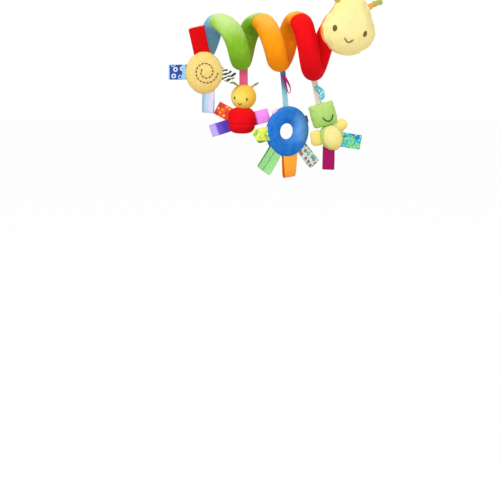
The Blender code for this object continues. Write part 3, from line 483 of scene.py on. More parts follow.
# the spiral
spiral = {
    "radial": 13.5, "axial": 17.3, "pitch": 62, "firstTop": -81, "loop": 30.5,
    "deep": 1.04, "tail": -0.42, "taper": 0.09, "tailEnd": 0.45, "head": 3.15,
    "seams": (-0.03, 1.02, 2.06), "ringSpacing": 3.0, "sides": 30, "clearance": 0.2,
    "turnLength": 215,      # mm of tube in a turn
    "seamPull": 0.09, "seamReach": 2.4, "foldSpacing": 6.5, "foldHeight": 0.5,
    "foldDrift": 18, "lumpSize": 22, "lumpHeight": 0.5, "stations": 358, "stationStep": 0.01,
    # the lowest point of each turn, where the hanging weight narrows the tube along the bar
    "bottoms": (0.52, 1.52, 2.52), "bottomNarrow": 0.13, "bottomReach": 0.11,
    # turns from the first top, and shares of the pitch along the bar
    "advance": ((-0.5, -0.60), (-0.25, -0.30), (0, 0), (0.25, 0.44), (0.5, 0.57),
                (0.75, 0.70), (1, 1.05), (1.25, 1.38), (1.5, 1.58), (2, 2.02),
                (2.25, 2.26), (2.5, 2.47), (2.75, 2.78), (3, 3.28), (3.3, 3.62)),
    # turns from the first top, and shares of the loop above or below the bar
    "height": ((-0.5, 1.0), (0, 1.0), (0.5, 1.08), (1, 1.03), (1.5, 1.17),
               (2, 1.1), (2.5, 1.64), (3, 1.08), (3.3, 1.0)),
}


def smoothShare(table, place):
    # a smooth curve through the table, with the slope of its neighbours at each entry
    index = 0
    while index < len(table) - 2 and place > table[index + 1][0]:
        index += 1
    (start, low), (end, high) = table[index], table[index + 1]
    before, later = table[max(index - 1, 0)], table[min(index + 2, len(table) - 1)]
    span = end - start
    slopeIn = (high - before[1]) / (end - before[0]) * span
    slopeOut = (later[1] - low) / (later[0] - start) * span
    t = (place - start) / span
    return ((2 * t**3 - 3 * t**2 + 1) * low + (t**3 - 2 * t**2 + t) * slopeIn
            + (3 * t**2 - 2 * t**3) * high + (t**3 - t**2) * slopeOut)


def spiralPoint(turn):
    angle = tau * turn
    return Vector((
        spiral["firstTop"] + spiral["pitch"] * smoothShare(spiral["advance"], turn),
        -spiral["loop"] * spiral["deep"] * sin(angle),
        spiral["loop"] * smoothShare(spiral["height"], turn) * cos(angle))) * mm


def taperShare(turn):
    near = min((turn - spiral["tail"]) / spiral["taper"], 1)
    return spiral["tailEnd"] + (1 - spiral["tailEnd"]) * sin(near * pi / 2)


def startGroup(name, **kinds):
    # a Geometry Nodes tree from a curve to a mesh, with its inputs and their identifiers
    tree = bpy.data.node_groups.new(name, "GeometryNodeTree")
    newSocket = tree.interface.new_socket
    newSocket("Geometry", in_out="INPUT", socket_type="NodeSocketGeometry")
    names = {label: newSocket(label, in_out="INPUT", socket_type="NodeSocket" + kind).identifier
             for label, kind in kinds.items()}
    newSocket("Geometry", in_out="OUTPUT", socket_type="NodeSocketGeometry")
    add = partial(addNode, tree)
    return tree, names, add, add("NodeGroupInput").node.outputs


def endGroup(add, geometry, material):
    real = add("GeometryNodeRealizeInstances", {"Geometry": geometry})
    dyed = add("GeometryNodeSetMaterial", {"Geometry": real, "Material": material})
    add("NodeGroupOutput", {"Geometry": dyed})


def sweptTubeTree():
    # an oval section swept along the winding curve and capped
    tree, names, add, given = startGroup("sweptTube", spacing="Float", radial="Float",
                                         axial="Float", sides="Int", cloth="Material")
    upright = add("GeometryNodeSetCurveNormal", {"Curve": given["Geometry"]}, mode="Z_UP")
    even = add("GeometryNodeResampleCurve", {"Curve": upright, "Length": given["spacing"]},
               mode="LENGTH")
    circle = add("GeometryNodeCurvePrimitiveCircle",
                 {"Radius": 1.0, "Resolution": given["sides"]})
    halves = add("CombineXYZ", (given["radial"], given["axial"], 1.0))
    oval = add("GeometryNodeTransform", {"Geometry": circle, "Scale": halves})
    sweep = add("GeometryNodeCurveToMesh",
                {"Fill Caps": True, "Curve": even, "Profile Curve": oval})
    if "Scale" in sweep.node.inputs:
        feed(sweep.node, {"Scale": add("GeometryNodeInputRadius")})
    endGroup(add, sweep, given["cloth"])
    return tree, names


def curveObject(points, radii=None):
    curve = bpy.data.curves.new("route", "CURVE")
    curve.dimensions = "3D"
    spline = curve.splines.new("POLY")
    spline.points.add(len(points) - 1)
    for index, (target, point) in enumerate(zip(spline.points, points)):
        target.co = (*point, 1)
        target.radius = radii[index] if radii else 1.0
    return addObject("route", curve)


def throughNodes(name, source, group, **values):
    # the group's result on a curve as a plain mesh object, and the curve is taken away
    tree, names = group
    modifier = source.modifiers.new(tree.name, "NODES")
    modifier.node_group = tree
    for label, value in values.items():
        modifier[names[label]] = value
    mesh = evaluated(source)
    mesh.name = name
    bpy.data.objects.remove(source, do_unlink=True)
    return addObject(name, mesh)


def windingFrame(turn):
    # the middle of the tube, the way it runs, and its outward and along-bar directions
    run = (spiralPoint(turn + 0.002) - spiralPoint(turn - 0.002)).normalized()
    bar = (Vector((1, 0, 0)) - run * run.x).normalized()
    return spiralPoint(turn), run, run.cross(bar), bar


def makeSpiral():
    group = sweptTubeTree()
    ends = (spiral["tail"], *spiral["seams"], spiral["head"])
    sides = spiral["sides"]
    for colour, start, end in zip(("blue", "green", "orange", "red"), ends, ends[1:]):
        steps = max(int((end - start) * 80), 8)
        turns = [start + (end - start) * step / steps for step in range(steps + 1)]
        route = curveObject([(-p.z, p.y, p.x) for p in map(spiralPoint, turns)],
                            [taperShare(turn) for turn in turns])
        piece = throughNodes(
            "spiral" + colour.title() + "Cover", route, group,
            spacing=spiral["ringSpacing"] * mm, sides=sides, cloth=velours[colour],
            radial=(spiral["radial"] - spiral["clearance"]) * mm,
            axial=(spiral["axial"] - spiral["clearance"]) * mm)
        piece.data.transform(Matrix.Rotation(radians(90), 4, "Y"))
        faceOutward(piece)
        count = len(piece.data.vertices)
        pinned = [*range(sides), *range(count - sides, count)]
        plump(piece, pinned, 0.8, pressure=6, growth=0.03, cap=1.2, after=drawInSeams)
        nodes = ["spiral_" + colour] + (["spiral_stuffing"] if colour == "red" else [])
        register(piece, "spiral", "velour_" + colour, *nodes)


def drawInSeams(piece):
    # each colour ends in a seam that is pulled tight, the tube is narrower at each bottom,
    # small folds lie across its inner side, and the filling is a little uneven
    table = [(turn, *windingFrame(turn)) for turn in
             [spiral["tail"] + spiral["stationStep"] * step
              for step in range(spiral["stations"])]]
    middles = np.array([entry[1] for entry in table])
    for vertex in piece.data.vertices:
        station = int(np.argmin(((middles - np.array(vertex.co)) ** 2).sum(1)))
        turn, middle, run, out, bar = table[station]
        offset = vertex.co - middle
        offset -= run * offset.dot(run)
        for seam in spiral["seams"]:
            away = abs(turn - seam) * spiral["turnLength"] / spiral["seamReach"]
            if away < 5:
                vertex.co -= offset * spiral["seamPull"] * exp(-away ** 2)
        for bottom in spiral["bottoms"]:
            near = exp(-((turn - bottom) / spiral["bottomReach"]) ** 2)
            vertex.co -= bar * offset.dot(bar) * spiral["bottomNarrow"] * near
        inner = max(-offset.normalized().dot(out), 0)
        fold = sin(turn * spiral["turnLength"] / spiral["foldSpacing"]
                   + 3 * noise.noise(middle / (spiral["foldDrift"] * mm)))
        vertex.co += out * fold * inner ** 2 * spiral["foldHeight"] * mm
        lump = noise.noise(vertex.co / (spiral["lumpSize"] * mm)) * spiral["lumpHeight"]
        vertex.co += offset.normalized() * lump * mm


makeSpiral()
print("spiral swept")


# the padded pieces
head = {
    "cells": 40, "width": 44.5, "depth": 24, "rise": 60, "drop": 39, "pinch": 0.34, "power": 2,
    "place": headPlace,
    "eyeSide": 0.56, "eyeHeight": -0.02, "eyeHalf": (3.4, 5.2), "eyeRise": 1.3,
    "faceShift": -3.5, "mouthAt": (-3.5, -14.43), "mouthHalf": 5.785, "mouthDip": 3.9,
    "tick": (1.7, 1.4),
    "feelerRadius": 4.2, "feelerLength": 24, "feelerHeight": 0.66,
    "feelerTuck": 5,
}
snail = {
    "cells": 34, "width": 29, "depth": 11, "rise": 33.5, "drop": 33.5, "power": 2,
    "place": placed(-105.6, -17.8, -50),
    "stitchStart": 156, "stitchTurns": 1.54, "stitchReach": (7, 19), "stitchShift": (2.9, 2.1),
    "stitchSpacing": 5.6, "stitchLength": 4.7, "stitchRadius": 0.95,
}
bugHead = {
    "cells": 26, "width": 20, "depth": 15, "rise": 19.5, "drop": 19.5, "power": 2,
    "place": placed(-42.16, 0, -90.14),
    "eyes": (("Left", -14.6, -0.8, (1.5, 2.7)), ("Right", 5.4, -3, (1.6, 2.8))), "eyeRise": 0.8,
    "mouthAt": (-6, -9), "mouthHalf": 3, "mouthDip": 2.4,
    "feelerRadius": 1.7, "feelerLength": 14, "feelerTuck": 3,
}
bugBody = {
    "cells": 26, "width": 21.2, "depth": 17, "rise": 20.5, "drop": 20.5, "power": 3.4,
    "place": placed(-45.16, 0, -128.64), "creaseHeight": -5.5, "creaseWidth": 1.7,
    "creaseDepth": 1.3,
}
frogHead = {
    "cells": 30, "width": 20.5, "depth": 14, "rise": 18.5, "drop": 19, "power": 4.2,
    # the ears, and fuller cheeks below: direction, height and width
    "ears": ((45, 0.17, 9.5), (135, 0.17, 9.5), (227, 0.09, 13), (313, 0.03, 12)),
    "place": frogPlace @ placed(0, 0, -19.782, 5),
    "mouthAt": (6.3, -3), "mouthHalf": 8.6, "mouthDip": 8.8,
}
frogBody = {
    "cells": 26, "width": 18.5, "depth": 14, "rise": 20, "drop": 24, "power": 2,
    "place": frogBodyPlace,
}
frogArms = {
    # direction and half width; the frog's arms are 24 mm from its middle
    "frogArmRight": (28, 9), "frogArmLeft": (167, 12.5),
}


def creaseBugBody(piece):
    # a sewn crease runs round the body's lower third
    inverse = bugBody["place"].inverted()
    for vertex in piece.data.vertices:
        local = inverse @ vertex.co
        away = (local.z / mm - bugBody["creaseHeight"]) / bugBody["creaseWidth"]
        facing = 0.3 + 0.7 * abs(vertex.normal.y)
        vertex.co -= vertex.normal * bugBody["creaseDepth"] * facing * mm * exp(-away * away)


def makePadded(name, form, dyes, body, slot, nodes, pressure, cap, after=None):
    piece, seam = pillow(name, form, [velours[dye] for dye in dyes])
    plump(piece, seam, 0.7, pressure, 0.05, cap, after)
    register(piece, body, slot, *nodes)
    return piece


headPiece = makePadded("headCover", head, ("cream", "rust"), "spiral", "velour_cream",
                       ("head_face", "head_back", "head_stuffing"), 8, 3.5)
snailPiece = makePadded("snailCover", snail, ("straw", "gold"), "snail", "velour_cream",
                        ("snail_front", "snail_back", "snail_crinkle_film",
                         "snail_stuffing"), 6, 2.5)
bugHeadPiece = makePadded("bugHeadCover", bugHead, ("gold",), "bug", "velour_gold",
                          ("bug_head",), 8, 2)
makePadded("bugBodyCover", bugBody, ("red",), "bug", "velour_red",
           ("bug_body_front", "bug_body_back", "bug_stuffing"), 8, 2, creaseBugBody)
frogHeadPiece = makePadded("frogHeadCover", frogHead, ("lime",), "frog", "velour_lime",
                           ("frog_head",), 6, 2)
makePadded("frogBodyCover", frogBody, ("belly", "lime"), "frog", "velour_cream",
           ("frog_belly", "frog_body", "frog_stuffing"), 8, 2)
for armName, (armAngle, armHalf) in frogArms.items():
    armTurn = Matrix.Rotation(-radians(armAngle), 4, "Y")
    frogArm = {"cells": 14, "width": 10, "depth": 6, "power": 3.6, "rise": armHalf,
               "drop": armHalf, "place": frogBody["place"] @ armTurn @ placed(24)}
    makePadded(armName, frogArm, ("butter",), "frog", "velour_cream", (nodeName(armName),),
               8, 1.5)


# the ring
ring = {
    "outer": 40, "hole": 12.5, "depth": 9, "around": 96, "section": 28, "place": ringPlace,
    "drift": (4.3, 1.6),    # how far the rim and the hole lie to the right of the middle
    "fuller": (0.025, 225),  # the share by which it is wider, and where
}


def makeRing():
    middle = (ring["outer"] + ring["hole"]) / 2
    half = (ring["outer"] - ring["hole"]) / 2
    around, section = ring["around"], ring["section"]
    (rimDrift, holeDrift), (extra, fullest) = ring["drift"], ring["fuller"]
    verts, faces, seam = [], [], []
    for i in range(around):
        turn = tau * i / around
        for j in range(section):
            angle = tau * j / section
            uneven = 1 + extra * cos(turn - radians(fullest))
            reach = (middle + half * cos(angle)) * uneven
            drift = holeDrift + (rimDrift - holeDrift) * (1 + cos(angle)) / 2
            verts.append(Vector((reach * cos(turn) + drift,
                                 ring["depth"] * sin(angle),
                                 reach * sin(turn))) * mm)
            if j in (0, section // 2):
                seam.append(i * section + j)
            n, m = (i + 1) % around, (j + 1) % section
            faces.append((i * section + j, i * section + m, n * section + m, n * section + j))
    piece = newPiece("ringCover", verts, faces, [velours["ringBlue"]], ring["place"])
    plump(piece, seam, 0.75, pressure=7, growth=0.08, cap=2.8)
    register(piece, "ring", "velour_blue", "ring_front", "ring_back", "ring_stuffing")


makeRing()
print("blowing up the padded pieces")
blowUp()
for form, piece in ((head, headPiece), (snail, snailPiece), (bugHead, bugHeadPiece),
                    (frogHead, frogHeadPiece)):
    # for laying stitches and eyes on the finished cloth
    form["tree"] = BVHTree.FromPolygons([v.co for v in piece.data.vertices],
                                        [p.vertices for p in piece.data.polygons])
print("padded pieces done")


# ribbon prints
def spots(add, uv, ground, colours, spacing, radius, seed, ringed=False):
    # printed dots or rings of a few colours, spacing and radius in mm
    moved = add("Mapping", {"Vector": uv, "Location": (seed, seed * 0.7, 0)})
    cells = add("TexVoronoi", {"Vector": moved, "Scale": 10 / spacing, "Randomness": 0.55},
                voronoi_dimensions="2D").node.outputs
    size = radius / spacing
    inside = add("MapRange", (cells["Distance"], size * 0.85, size, 1, 0))
    if ringed:
        hole = add("MapRange", (cells["Distance"], size * 0.42, size * 0.55))
        inside = add("Math", (inside, hole), operation="MULTIPLY")
    dye = add("ValToRGB", (add("SeparateColor", (cells["Color"],)),),
              stops=[(index / len(colours), colour) for index, colour in enumerate(colours)])
    dye.node.color_ramp.interpolation = "CONSTANT"
    return layered(add, ground, (inside, dye))


def patchPrint(scale, patches, *dots):
    # patches of other dyes, each with a channel and a range, and spots over them
    def paint(add, uv, across, along, colour):
        cells = add("TexVoronoi", {"Vector": uv, "Scale": scale}, "Color",
                    voronoi_dimensions="2D")
        hues = add("SeparateColor", (cells,)).node.outputs
        for channel, low, high, dye in patches:
            colour = layered(add, colour, (add("MapRange", (hues[channel], low, high)), dye))
        return spots(add, uv, colour, *dots)
    return paint


def navyPrint(add, uv, across, along, colour):
    # navy with pale rings, and pale bars at the sewn end and the fold
    printed = spots(add, uv, colour, ("#dfeaf6", "#9cc0e8"), 11, 3.9, 0.55, ringed=True)
    fold = add("Math", (add("Math", (along, 3.3), operation="SUBTRACT"),),
               operation="ABSOLUTE")
    bar = add("Math", (fold, 2.55, 0.28), operation="COMPARE")
    return layered(add, printed, (bar, "#8fbde6"),
                   (add("MapRange", (fold, 0.2, 0.26, 1, 0)), "#c6dcee"))


def shotSilk(add, uv, across, along, colour):
    # pale satin with a painted lilac highlight in the middle, painted slate-blue shade at one edge
    # where the inside of the loop shows, and paler blue at the other edge
    return layered(add, colour, (add("MapRange", (across, 0.95, 1.4)), "#d4c2e4"),
                   (add("MapRange", (across, 0.15, 0.7, 1, 0)), "#88a8c4"),
                   (add("MapRange", (across, 1.6, 2.0)), "#b2ccdc"))


def zebraPrint(add, uv, across, along, colour):
    stripes = add("TexWave", {"Vector": uv, "Scale": 0.8, "Distortion": 5, "Detail": 1.5,
                              "Detail Scale": 1.4}, "Fac", bands_direction="DIAGONAL")
    return layered(add, colour, (add("MapRange", (stripes, 0.46, 0.54)), "#1d2a2c"))


def leafPrint(add, uv, across, along, colour):
    # darker veins that run out from the middle at a slant
    mirror = add("Math", (add("Math", (across, 1.1), operation="SUBTRACT"),),
                 operation="ABSOLUTE")
    slant = add("Math", (along, mirror), operation="SUBTRACT")
    scaled = add("Math", (slant, 2.6), operation="MULTIPLY")
    cycle = add("Math", (scaled,), operation="FRACT")
    return layered(add, colour, (add("MapRange", (cycle, 0.68, 0.75)), "#4fb36a"),
                   (add("MapRange", (mirror, 0.05, 0.09, 1, 0)), "#3f9f5c"))


def dotPrint(*rounds):
    # one layer of spots over another
    def paint(add, uv, across, along, colour):
        for dots in rounds:
            colour = spots(add, uv, colour, *dots)
        return colour
    return paint


flamePrint = patchPrint(1.7, ((0, 0.5, 0.52, "#ef5a1e"),),
                        ("#ffc23a", "#ffe9a8", "#b7322a"), 6.5, 1.6, 1.7)
limePrint = patchPrint(1.3, ((0, 0.55, 0.57, "#7cc44e"),),
                       ("#f0a0a8", "#e9f2a0", "#ffd34a"), 7.5, 2.0, 0.6)
seaPrint = patchPrint(1.5, ((0, 0.62, 0.66, "#1f74b4"), (1, 0.55, 0.6, "#7cc862")),
                      ("#9fdcd8", "#1d5ea6"), 6.0, 1.2, 0.9)
floralPrint = dotPrint((("#b0726c", "#4fa98a", "#3f8f86"), 8.2, 3.4, 2.2),
                       (("#2a6a58", "#e6efe8", "#d8c87a"), 8.2, 1.3, 2.2))
tealDots = dotPrint((("#f4fbfb", "#3da9b8"), 4.2, 1.2, 0.4))
ribbons = {
    "navy": ribbon("satinPrintNavy", "#1f4392", navyPrint),
    "zebra": ribbon("satinPrintZebra", "#dfe3d8", zebraPrint),
    "sky": ribbon("satinSky", "#b0c8dc", shotSilk, rough=0.34),
    "flame": ribbon("satinPrintFlame", "#e23a1c", flamePrint),
    "violet": ribbon("satinShadedViolet", "#b79bea", ends=(
        (4, "#4a28a4"), (16, "#6d49cc"), (19, "#b9a0ec"), (45, "#b9a0ec"), (48, "#6d49cc"),
        (60, "#4a28a4"))),
    # the dark maroon just outside the seam at each end is painted shade where the tag goes into
    # the bug
    "pink": ribbon("satinPink", "#f58ff0", rough=0.36, ends=(
        (5.5, "#8a1c5e"), (8.5, "#f58ff0"), (47.5, "#f58ff0"), (50.5, "#8a1c5e"))),
    "limePrint": ribbon("satinPrintLime", "#d6e24e", limePrint),
    "leaf": ribbon("satinPrintLeaf", "#a5dd8c", leafPrint),
    # painted light and shade: paler at the sewn ends and darker towards the fold at the tag's
    # lower edge
    "orange": ribbon("satinOrange", "#fa9c14", rough=0.36, ends=(
        (0, "#fbac2c"), (30, "#fa9c12"), (41, "#f28206"), (52, "#fa9c12"), (82, "#fbac2c"))),
    "floral": ribbon("satinPrintFloral", "#cfe6e0", floralPrint),
    "pale": ribbon("satinPalePink", "#f4cfe0", rough=0.36),
    "olive": ribbon("satinOlive", "#4e5a22"),
    "sea": ribbon("satinPrintSea", "#33b3b4", seaPrint),
    "magenta": ribbon("satinMagenta", "#980356", rough=0.4, shine=0.14),
    "strapRed": ribbon("grosgrainRed", "#cc0009", rough=0.7, depth=2, shine=0.08),
    "strapPink": ribbon("grosgrainPink", "#e0587e", rough=0.5, depth=1.6),
    "strapAqua": ribbon("satinShadedAqua", "#8fd2dc", ends=(
        (0, "#3f6fc4"), (20, "#4a7fae"), (28, "#5f97ac"), (34, "#7db4ba"), (60, "#8cc0c8"))),
    "strapGrey": ribbon("grosgrainPutty", "#d6cdbb", rough=0.6, depth=1.6),
    "tealDots": ribbon("satinPrintTeal", "#5fc4d2", tealDots),
    "loopMagenta": ribbon("satinLoopMagenta", "#b3187c", rough=0.36),
}


# ribbon tags
tagCloth = {"thickness": 0.55, "bulge": 3.6, "mouth": 0.55, "tuck": 4, "points": 34,
            "across": 8, "curl": 0.5, "wobble": 0.7}


def thinCloth(name, rows, uvs, material, thickness):
    # rows of points across the cloth, given a real thickness and closed all round
    count = len(rows[0])
    starts = [i * count + j for i in range(len(rows) - 1) for j in range(count - 1)]
    faces = [(a, a + 1, a + count + 1, a + count) for a in starts]
    piece = newPiece(name, sum(rows, []), faces, [material], uvs=sum(uvs, []))
    wall = piece.modifiers.new("wall", "SOLIDIFY")
    wall.thickness, wall.offset = thickness * mm, 0
    settle(piece)
    smoother(piece)
    faceOutward(piece)
    return piece


def makeTag(name, form, cloth, slot, place, direction, length, width, fold):
    # a folded ribbon tag tucked into a seam; its own X runs out and Z lies across it
    tuck, power = tagCloth["tuck"], form["power"]
    reach = length + tuck
    angle = radians(place)
    square = outlineShare(angle, power)
    edge = Vector((form["width"] * square * cos(angle), 0,
                   form["rise"] * square * sin(angle)))
    turn = Matrix.Rotation(-radians(direction), 4, "Y")
    inward = turn @ Vector((-tuck, 0, 0))
    seat = form["place"] @ Matrix.Translation((edge + inward) * mm) @ turn
    bend, twist = fold.get("bend", 0), radians(fold.get("twist", 0))
    rows, uvs = [], []
    steps = tagCloth["points"]
    for i in range(steps + 1):
        a = pi * i / steps
        out = sin(a) ** 0.8
        swell = tagCloth["mouth"] + (1 - tagCloth["mouth"]) * sin(a)
        side = copysign(abs(cos(a)) ** 0.55, cos(a))
        row, marks = [], []
        for j in range(tagCloth["across"] + 1):
            share = 2 * j / tagCloth["across"] - 1
            x = reach * out
            y = fold.get("bulge", tagCloth["bulge"]) / 2 * side * swell + bend * out ** 2
            y += fold.get("curl", tagCloth["curl"]) * share ** 2 * out
            z = width / 2 * share
            y, z = (y * cos(twist * out) - z * sin(twist * out),
                    y * sin(twist * out) + z * cos(twist * out))
            wobble = noise.noise(Vector((x * 0.12, z * 0.1, place * 0.37)))
            row.append(seat @ (Vector((x, y + tagCloth["wobble"] * wobble * out, z)) * mm))
            gone = reach * out if i <= steps / 2 else reach * (2 - out)
            marks.append(((share + 1) * width / 20, gone / 10))
        rows.append(row)
        uvs.append(marks)
    piece = thinCloth(name, rows, uvs, ribbons[cloth], tagCloth["thickness"])
    register(piece, name.split("Tag")[0], slot, nodeName(name))


ringForm = {"place": ring["place"] @ placed(ring["drift"][0]), "width": ring["outer"],
            "rise": ring["outer"], "power": 2}
tagForms = {"snail": snail, "bug": bugBody, "ring": ringForm, "frog": frogBody}
tags = {
    # ribbon, slot, place round the seam, direction, length, width, and how it is folded
    "snailTagNavy": ("navy", "satin_navy", 178, 180, 29, 24, {"bend": -1.5, "bulge": 5}),
    "snailTagStriped": ("zebra", "satin_grey", -2, -22, 20.5, 19, {"twist": 4, "bulge": 5}),
    "snailTagSatin": ("sky", "satin_sky", -76, -93, 32, 20,
                      {"bend": 1, "twist": 24, "bulge": 7}),
    "bugTagPrint": ("flame", "satin_orange", 153, 151, 23, 22.5, {"twist": 8}),
    "bugTagSatin": ("violet", "satin_purple", 202, 198, 31.5, 20.5,
                    {"twist": -12, "bulge": 5}),
    "bugTagPink": ("pink", "satin_pink", 9, 15, 24, 22.5, {"twist": -8, "bulge": 4.5}),
    "ringTagYellow": ("limePrint", "satin_lime", 183, 187, 25, 23,
                      {"twist": 50, "bulge": 10}),
    "ringTagLeaf": ("leaf", "satin_lime", 231, 233, 39, 26,
                    {"bend": 1.5, "twist": 8, "bulge": 8, "curl": -2.5}),
    "ringTagOrange": ("orange", "satin_orange", 275.5, 269, 37, 29,
                      {"twist": -18, "bulge": 8}),
    "ringTagFloral": ("floral", "satin_aqua", 313.5, 312, 41, 20.5,
                      {"twist": 10, "bulge": 5}),
    "ringTagPale": ("pale", "satin_pink", 127, 124, 5.5, 11, {}),
    "ringTagDark": ("olive", "satin_olive", 25, 18, 3.6, 12, {}),
    "frogTagPrint": ("sea", "satin_aqua", -36, -30, 31, 24, {"bulge": 5}),
    "frogTagMagenta": ("magenta", "satin_magenta", 236, 249, 36, 20,
                       {"bend": -2, "twist": 18, "bulge": 5}),
}
for tagName, tag in tags.items():
    makeTag(tagName, tagForms[tagName.split("Tag")[0]], *tag)
print("tags folded")


# straps and side loops
def bandAlong(name, seat, points, sides, width, cloth, thickness, curl=0.0, cells=6):
    # a flat band along points in the seat's frame; sides gives its width direction at each
    path = [seat @ (Vector(point) * mm) / mm for point in points]
    rows, uvs, run = [], [], 0.0
    for index, (point, side) in enumerate(zip(path, sides)):
        before, after = path[max(index - 1, 0)], path[min(index + 1, len(path) - 1)]
        if index:
            run += (point - before).length
        side = (seat.to_3x3() @ Vector(side)).normalized()
        face = side.cross((after - before).normalized())
        shares = [2 * j / cells - 1 for j in range(cells + 1)]
        rows.append([(point + side * share * width / 2 + face * curl * share ** 2) * mm
                     for share in shares])
        uvs.append([((share + 1) * width / 20, run / 10) for share in shares])
    return thinCloth(name, rows, uvs, ribbons[cloth], thickness), run


straps = {
    # place, length, width, ribbon, slot, tucks above and below, and twist in degrees
    "bugStrap": (placed(-42.16, 0, -47.54), 22, 14, "strapPink", "satin_pink", 4, 4, 0),
    "ringStrap": (placed(21.76, 0, -50.285, -5.3), 55, 9, "strapAqua", "satin_aqua", 4, 3, 12),
    "frogStrap": (placed(74.14, 0, -68.82, -12), 32, 10, "strapGrey", "satin_grey", 7, 3, 0),
}
sideLoops = {
    # roll at the seam and at its tip, from 0 edge on to 90 face on
    "ringSideLoop": {"slot": "satin_magenta", "place": placed(21.76, 0, -50.285),
                     "cloth": "loopMagenta", "length": 31, "angle": -69, "half": 5.5,
                     "width": 5.5, "roll": (60, 8), "bow": 1.5},
    "frogSideLoop": {"slot": "satin_aqua", "place": placed(74.14, 0, -68.82),
                     "cloth": "tealDots", "length": 24, "angle": -61, "half": 3.5,
                     "width": 9, "roll": (58, 74), "bow": 5},
}


def hangingStrap(name, place, length, width, cloth, slot, top, low, twist):
    # a doubled strap, tucked into the cloth above and below
    points, sides = [], []
    for share in shares(24):
        angle = radians(twist) * sin(share * pi)
        points.append((0, 0.5 * sin(share * tau), top - (length + top + low) * share))
        sides.append((cos(angle), sin(angle), 0))
    piece, run = bandAlong(name, place, points, sides, width, cloth, 1.5, curl=0.4)
    register(piece, nodeName(name), slot, nodeName(name))


def makeSideLoop(name, spec):
    # a narrow spare loop sewn in beside the strap, that hangs a little open
    seat = (spec["place"] @ placed(0, -3.6, -4.5)
            @ Matrix.Rotation(-radians(spec["angle"]), 4, "Y"))
    points, sides = [], []
    for a in [pi * step / 48 for step in range(49)]:
        out = sin(a) ** 0.9
        roll = radians(spec["roll"][0] + (spec["roll"][1] - spec["roll"][0]) * out)
        apart = spec["half"] * cos(a) * (0.2 + 0.8 * sin(a))
        points.append((spec["length"] * out, -apart * sin(roll),
                       apart * cos(roll) + spec["bow"] * sin(pi * out)))
        sides.append((0, cos(roll), sin(roll)))
    piece = bandAlong(name, seat, points, sides, spec["width"], spec["cloth"], 0.9, cells=4)[0]
    register(piece, name.replace("SideLoop", "_strap"), spec["slot"], nodeName(name))


def snailStrap():
    # one red strap: from behind, over the blue end, to a fold in front, and down
    crease, width = placed(-117.64, -17.8, 20.8, -12.5), 26
    points = [(0, 44.5 - 2.2 * step, 0.4 + 0.5 * sin(step / 3)) for step in range(20)]
    for a in [pi / 2 * step / 6 for step in range(7)]:
        points.append((0, 1.6 - 1.6 * sin(a), -1.6 + 1.6 * cos(a) + 0.6))
    for step in range(1, 19):
        points.append((0, -0.5 * sin(step / 18 * pi), -1.4 - 2.5 * step))
    piece, run = bandAlong("snailStrap", crease, points, [(1, 0, 0)] * len(points), width,
                           "strapRed", 1.5, curl=0.3, cells=8)
    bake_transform(piece)
    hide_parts("snail_strap_upper", "snail_strap")


for strapName, strap in straps.items():
    hangingStrap(strapName, *strap)
for loopName, loopSpec in sideLoops.items():
    makeSideLoop(loopName, loopSpec)
snailStrap()
print("straps hung")


# feelers, eyes, mouths and stitches
threadDark = embroideryThread("rayonThreadOlive", "#7c681c", "#46380c")
threadBrown = embroideryThread("rayonThreadBrown", "#7e5220", "#4a2c0c")
threadMoss = embroideryThread("rayonThreadMoss", "#74782e", "#43471a")
threadForest = embroideryThread("rayonThreadForest", "#46561e", "#222c0c")
cordHead = twistedCord("twistedCordOrange", "#e2902a", "#c4a034", "#a2a83e", 24)
cordOlive = twistedCord("twistedCordOlive", "#a8a23e", "#d89a34", "#a2a83e", 24)
cordBug = twistedCord("twistedCordFine", "#e88a30", "#c08a3a", "#93994a", 14)


def tubeAlong(name, points, radii, material, sides, ply, turnsPerMm):
    # a round cord along points, closed at both ends; ply raises its two twisted strands
    count = len(points)
    runs = [(points[min(index + 1, count - 1)] - points[max(index - 1, 0)]).normalized()
            for index in range(count)]
    side = runs[0].orthogonal().normalized()
    verts, uvs, faces, gone = [], [], [], 0.0
    for index, (point, run) in enumerate(zip(points, runs)):
        if index:
            gone += (point - points[index - 1]).length / mm
        side = (side - run * side.dot(run)).normalized()
        other = run.cross(side)
        for step in range(sides):
            angle = tau * step / sides
            wind = angle * 2 + tau * gone * turnsPerMm
            radius = radii[index] * (1 + ply * cos(wind)) * mm
            verts.append(point + (side * cos(angle) + other * sin(angle)) * radius)
            uvs.append((step / sides, gone / 10))
            if index:
                a = (index - 1) * sides + step
                b = (index - 1) * sides + (step + 1) % sides
                faces.append((a, b, b + sides, a + sides))
    for ringStart, flip in ((0, True), (len(verts) - sides, False)):
        verts.append(sum((verts[ringStart + s] for s in range(sides)), Vector()) / sides)
        uvs.append((0.5, 0 if flip else gone / 10))
        for step in range(sides):
            a, b = ringStart + step, ringStart + (step + 1) % sides
            faces.append((b, a, len(verts) - 1) if flip else (a, b, len(verts) - 1))
    return newPiece(name, verts, faces, [material], uvs=uvs)


def makeFeeler(name, body, form, start, angle, material):
    place, radius, length = form["place"], form["feelerRadius"], form["feelerLength"]
    heading, inside = radians(angle), form["feelerTuck"]
    side = 1 if cos(heading) > 0 else -1
    points, radii = [], []
    for share in shares(40):
        gone = -inside + (length + inside) * share
        sag = 0.16 * length * max(gone / length, 0) ** 2
        points.append(place @ (Vector((start[0] + gone * cos(heading) + side * sag, 0,
                                       start[1] + gone * sin(heading) - sag)) * mm))
        tip = max(0, (share - 0.93) / 0.07)
        radii.append(radius * sqrt(max(1 - tip ** 2, 0.02)) * (1 + 0.08 * share))
    piece = tubeAlong(name, points, radii, material, 20, 0.1, 0.11)
    register(piece, body, "twisted_cord", nodeName(name))


